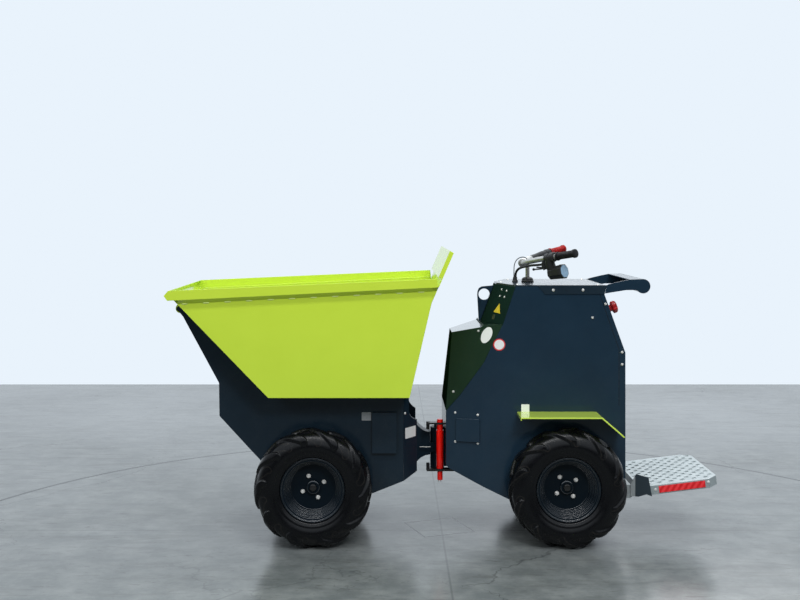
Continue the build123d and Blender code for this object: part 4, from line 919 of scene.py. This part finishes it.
keypad = moulded("pale_blue_keypad", ((0.20, 0.36, 0.52), (0.26, 0.43, 0.60)), 60.0,
                 90.0, (0.22, 0.34), (500.0,), 0.00005, coat=0.4)
BOX_END, BOX_RUN = np.array((574.0, -270.0, 1201.0)), np.array((0.76, -0.62, 0.18))
box_end, box_axis = played(BOX_END), way(BOX_END, BOX_END + BOX_RUN)
CASE_TURN = 0.39
CASE = [(0.0, -78.0), (24.0, -78.0), (29.0, -72.0), (33.0, -16.0), (34.0, -14.0), (34.0, -2.0), (32.0, 0.0),
        (0.0, 0.0)]
PANEL = [(0.0, -0.5), (29.0, -0.5), (29.0, 0.9), (28.0, 1.3), (0.0, 1.3)]
panel = turned(PANEL, box_end, box_axis, 8, start=CASE_TURN)
piece("box_keypad", [panel], keypad, "handlebar", 20.0)
bar_way = way((455.0, -175.0, 1246.0), (531.0, -262.0, 1264.0))
collar = turned([(0.0, -27.0), (18.5, -27.0), (20.5, -24.0), (20.5, -6.0), (17.0, -4.0), (17.0, 3.0), (21.5, 5.0),
                 (21.5, 24.0), (19.0, 27.0), (0.0, 27.0)], played((514.0, -243.0, 1260.0)), bar_way, 28)
ARMS = [  # radius and line of what joins the case to the collar and to the lever
    (0.022, [(512.0, -240.0, 1258.0), (512.0, -234.0, 1232.0), (522.0, -230.0, 1206.0)]),
    (0.012, [(494.0, -220.0, 1246.0), (486.0, -212.0, 1228.0), (496.0, -214.0, 1206.0)]),
    (0.0035, [(500.0, -216.0, 1212.0), (470.0, -184.0, 1206.0), (446.0, -162.0, 1203.0)]),
    (0.0035, [(500.0, -216.0, 1216.0), (476.0, -190.0, 1213.0), (458.0, -172.0, 1213.0)]),
]
housing = [tube(even_line(played(line), 8), r, 20) for r, line in ARMS]
housing.append(turned(CASE, box_end, box_axis, 8, start=CASE_TURN))
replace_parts(piece("control_housing", housing, plastic, "handlebar", 24.0), "control_box")
knob = turned([(0.0, -6.0), (3.6, -5.4), (5.6, -2.8), (6.2, 0.0), (5.6, 3.0), (3.6, 5.4), (0.0, 6.2)],
              played((444.0, -160.0, 1203.0)), (0.2, 0.3, 1.0), 20)
piece("lever_clamp", [collar, knob], plastic, "handlebar", 40.0)

sleeve_line = even_line(smooth_line(BEND), 80)[30:64]
swell = 13.0 + 3.6 * smoothstep(np.linspace(0.0, 1.0, len(sleeve_line)), 0.25, 0.6)
swell[-3:] -= (0.8, 1.8, 3.0)
sleeve = tube(played(sleeve_line), swell * MM, 24)
perch = turned([(0.0, -13.0), (17.5, -13.0), (19.0, -10.0), (19.0, 10.0), (17.5, 13.0), (0.0, 13.0)],
               played(sleeve_line[-8]), way(sleeve_line[-9], sleeve_line[-7]), 24)
piece("right_sleeve", [sleeve, perch], plastic, "handlebar", 40.0)

# ------------------------------------------------------------------ web and pins by the pivot
# A web behind the fork's ears ties them to the housing. A split pin hangs from the lock bar's
# foot, and a thin plated rod lies along the tongue's side.
def standing(outline, y):
    """An outline of (behind the pivot, above the ground), stood upright at y, all in mm."""
    return from_pivot(np.insert(outline, 1, y, axis=1))


ROOT = [(27.0, 286.0), (62.0, 286.0), (62.0, 470.0), (27.0, 470.0)]
rows = [standing(ROOT, y) for y in (-42.0, 42.0)]
ends = [np.broadcast_to(row.mean(axis=0), row.shape) for row in rows]
piece("fork_root", [surface(np.stack([ends[0], *rows, ends[1]]))], satin, "rear_unit", 20.0)

SPLITS = [((3.0, -115.0, 243.0), (1.0, -116.0, 229.0)), ((10.0, -115.0, 243.0), (14.0, -114.0, 230.0))]
legs = [tube(even_line(from_pivot(ends), 4), 0.0015, 10) for ends in SPLITS]
piece("split_pin", legs, zinc_bolt, "rear_unit", 40.0)
rod = from_pivot([(-82.0, -72.0, 382.0), (-33.0, -72.0, 382.0)])
piece("tongue_rod", [tube(even_line(rod, 6), 0.002, 12)], zinc_bolt, "front_unit", 40.0)

# ------------------------------------------------------------------ cables
# A sheathed bundle rises from the gland on the deck and runs under the bar to the knuckle. A
# thinner lead loops over from the same gland.
sheath = moulded("cable_sheath", ((0.008, 0.008, 0.009), (0.014, 0.014, 0.0145)), 40.0,
                 90.0, (0.4, 0.6), (600.0, 2.0), 0.0002, specular=0.4)


def cable_line(route, count):
    """A cable's line, read from its smooth route, and its length."""
    line = path_of(from_pivot(route), count)
    return line, float(np.linalg.norm(np.diff(line, axis=0), axis=1).sum())


BUNDLE = [(367.0, 0.0, 1160.3), (367.0, 0.0, 1179.0), (376.0, -19.0, 1197.0), (387.0, -47.0, 1206.0),
          (400.0, -79.0, 1211.0), (413.0, -113.0, 1217.0), (428.0, -146.0, 1221.0), (443.0, -174.0, 1223.0),
          (461.6, -199.9, 1226.5)]
line, length = cable_line(BUNDLE, 90)
bend = ("rear_unit", "handlebar", tuple(line[4]), tuple(line[-12]))
bundle = piece("sheathed_bundle", [tube(line, 0.0055, 16)], sheath, None, 60.0, blend=bend)
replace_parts(bundle, "cable_bundle")

LOOP = [(359.5, 0.0, 1160.2), (359.5, -1.0, 1185.0), (360.0, -8.0, 1220.0), (371.0, -30.0, 1246.0),
        (390.0, -58.0, 1256.0), (404.0, -84.0, 1254.0), (409.0, -98.0, 1247.0)]
line, length = cable_line(LOOP, 70)
bend = ("rear_unit", "handlebar", tuple(line[3]), tuple(line[-6]))
lead = piece("thin_lead", [tube(line, 0.002, 12)], sheath, None, 60.0, blend=bend)

GLAND_AT = (364.5, 0.0, 1137.3)
boot = rounded([(0.0, 0.0), (14.0, 0.0), (14.0, 3.0), (11.5, 6.0), (9.8, 16.0), (8.8, 23.0), (0.0, 23.0)], 1.2)
piece("gland_boot", [turned(boot, from_pivot(GLAND_AT), (0, 0, 1), 28)], plastic, "rear_unit",
      50.0)

# ------------------------------------------------------------------ rail's rolled edge
# The rail's rear edge is rolled round into a half pipe, and each side arm ends in a disc of
# the same radius.
ROLL_X, ROLL_Z, ROLL_R, ROLL_WALL = 907.0, 1132.0, 32.0, 4.0
a = np.radians(np.linspace(92.0, -78.0, 25))
arcs = [np.stack([ROLL_X + r * np.cos(a), ROLL_Z + r * np.sin(a)], axis=1) for r in (ROLL_R, ROLL_R - ROLL_WALL)]
rows = [standing(np.vstack([arcs[0], arcs[1][::-1]]), y) for y in (-240.5, 240.5)]
DISC = [(0.0, -0.1), (ROLL_R - 1.0, -0.1), (ROLL_R, 0.9), (ROLL_R, 3.3), (ROLL_R - 1.0, 4.3), (0.0, 4.3)]
discs = [turned(DISC, from_pivot((ROLL_X, side * 240.0, ROLL_Z)), (0, side, 0), 64) for side in (-1, 1)]
piece("rail_roll", [surface(np.stack(rows)), *discs], anthracite, "rear_unit", 35.0)

# ------------------------------------------------------------------ isolator knob
# A dark red key switch on the slanted rear face: a lobed knob over a round collar, moulded in
# the same plastic and held through the sheet.
knob_red = moulded("dark_red_moulding", ((0.42, 0.010, 0.012), (0.30, 0.007, 0.009)), 60.0,
                   90.0, (0.28, 0.42), (900.0, 2.0), 0.0001, coat=0.2)
face_spot, face_way = spot_on("rear_body", (0.9, -0.18, 1.086), (-1.0, 0.0, -0.36))
lobes = np.linspace(0.0, 2 * np.pi, 60, endpoint=False)
grip_r = 26.4 + 2.2 * np.cos(7 * lobes)
side_way = np.array((0.0, 1.0, 0.0))
up_way = np.cross(face_way, side_way)
ring_way = np.cos(lobes)[:, None] * side_way + np.sin(lobes)[:, None] * up_way
KNOB = [  # height above the sheet in mm, share of the lobed radius
    (9.0, 0.0), (9.0, 0.5), (17.0, 0.56), (20.0, 0.92), (23.0, 1.0), (33.0, 1.0), (39.0, 0.9), (43.0, 0.7),
    (43.5, 0.0)]
rows = [face_spot + (share * grip_r[:, None] * ring_way + height * face_way) * MM for height, share in KNOB]
collar = turned([(0.0, 0.2), (17.0, 0.2), (17.0, 9.0), (15.0, 11.0), (0.0, 11.0)], face_spot, face_way, 32)
turn_knob = piece("lobed_knob", [surface(np.stack(rows)), collar], knob_red, "rear_unit", 40.0)
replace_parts(turn_knob, "isolator_knob")

# ------------------------------------------------------------------ step
# A folded, perforated and hot-dip galvanised tray on two pins. A cheek plate stands at each
# front corner, coloured dark as painted shade, and a red reflector strip is bolted to each side.
galvanised = plated("hot_dip_zinc", (0.40, 0.46, 0.475), (0.285, 0.335, 0.35), 55.0, 0.35, 0.3)
dress("step_deck", galvanised, 0.0008)
# The cheeks at the front corners are dark blue-grey and not metallic: painted shade.
arms, tree, shader = new_material("zinc_arms_shaded_cheeks")
skin = use_group(tree, dull_zinc, {"Bright": (0.50, 0.54, 0.55), "Dark": (0.34, 0.37, 0.38),
                                   "Spangle": 60.0, "Streaks": 0.4})
at = axes(tree, object_place(tree))
shaded_cheek = maths(tree, MULTIPLY, ramp(tree, maths(tree, "ABSOLUTE", at["Y"]), 0.2503, 0.2505),
              ramp(tree, at["X"], PIVOT_X + 0.868, PIVOT_X + 0.8685))
feed(tree, shader, Base_Color=mixed(tree, shaded_cheek, skin["Color"], (0.020, 0.032, 0.042)),
     Roughness=skin["Roughness"], Metallic=ramp(tree, shaded_cheek, 0.0, 1.0, 0.6, 0.0))
bumped(tree, shader, skin["Height"], 0.00008)
dress("step_arms", arms, 0.001)

# Prismatic cells, with brighter diagonal bands over them that are a painted highlight.
reflector, tree, shader = new_material("reflector_cells_and_highlights", coat=0.15, coat_roughness=0.03)
where = object_place(tree)
cells = node(tree, "TexVoronoi", {"Vector": where, "Scale": 140.0, "Randomness": 0.0})
at = axes(tree, where)
slant_highlight = maths(tree, "PINGPONG", maths(tree, ADD, at["X"], maths(tree, MULTIPLY, at["Z"], -0.6)), 0.013)
depth = maths(tree, ADD, ramp(tree, cells.outputs["Distance"], 0.0, 0.55, 0.0, 0.4),
              ramp(tree, slant_highlight, 0.004, 0.01, 0.0, 0.6))
feed(tree, shader, Base_Color=mixed(tree, depth, (1.0, 0.06, 0.07), (0.62, 0.004, 0.008)),
     Roughness=ramp(tree, depth, 0.0, 1.0, 0.2, 0.3))
bumped(tree, shader, depth, 0.0006)
dress("step_reflectors", reflector, 0.0004)
heads = []
for side in (from_left, from_right):
    heads += dome(side("step_deck", 961, 228), 0.85) + dome(side("step_deck", 1196, 262), 0.85)
piece("reflector_bolts", heads, zinc_bolt, "step", 30.0)

# Each hole of the tread is drawn up into a low collar round a throat six millimetres deep.
HINGE_X, HINGE_Z, STEP_TILT = 862.0, 235.0, math.radians(7.0)
TREAD_ROWS, ROW_PITCH, HOLE_PITCH, TREAD_MIDDLE = 14, 31.0, 52.0, 207.0
COLLAR = [(8.4, -6.0), (8.4, 0.6), (9.2, 1.5), (10.4, 1.5), (11.6, 0.7), (12.2, -0.2)]
c, s = math.cos(STEP_TILT), math.sin(STEP_TILT)
tilt = np.array([(c, 0.0, s), (0.0, 1.0, 0.0), (-s, 0.0, c)])
collars = []
for row in range(TREAD_ROWS):
    for i in range(6 + row % 2):
        along = TREAD_MIDDLE + (i - (5 + row % 2) / 2) * HOLE_PITCH
        spot = np.array((along, (row - (TREAD_ROWS - 1) / 2) * ROW_PITCH, 0.0)) @ tilt
        collars.append(turned(COLLAR, from_pivot(spot + (HINGE_X, 0.0, HINGE_Z)), tilt[2], 16))
piece("tread_collars", collars, galvanised, "step", 50.0)

# ------------------------------------------------------------------ battery
# The pack is one closed, dark block that stands inside the housing. It isn't seen, so only its
# place matters.
block = moulded("battery_block", ((0.02, 0.02, 0.02), (0.03, 0.03, 0.03)), 12.0, 30.0, (0.4, 0.6), (400.0,), 0.0001)
dress("battery_pack", block, 0.0)
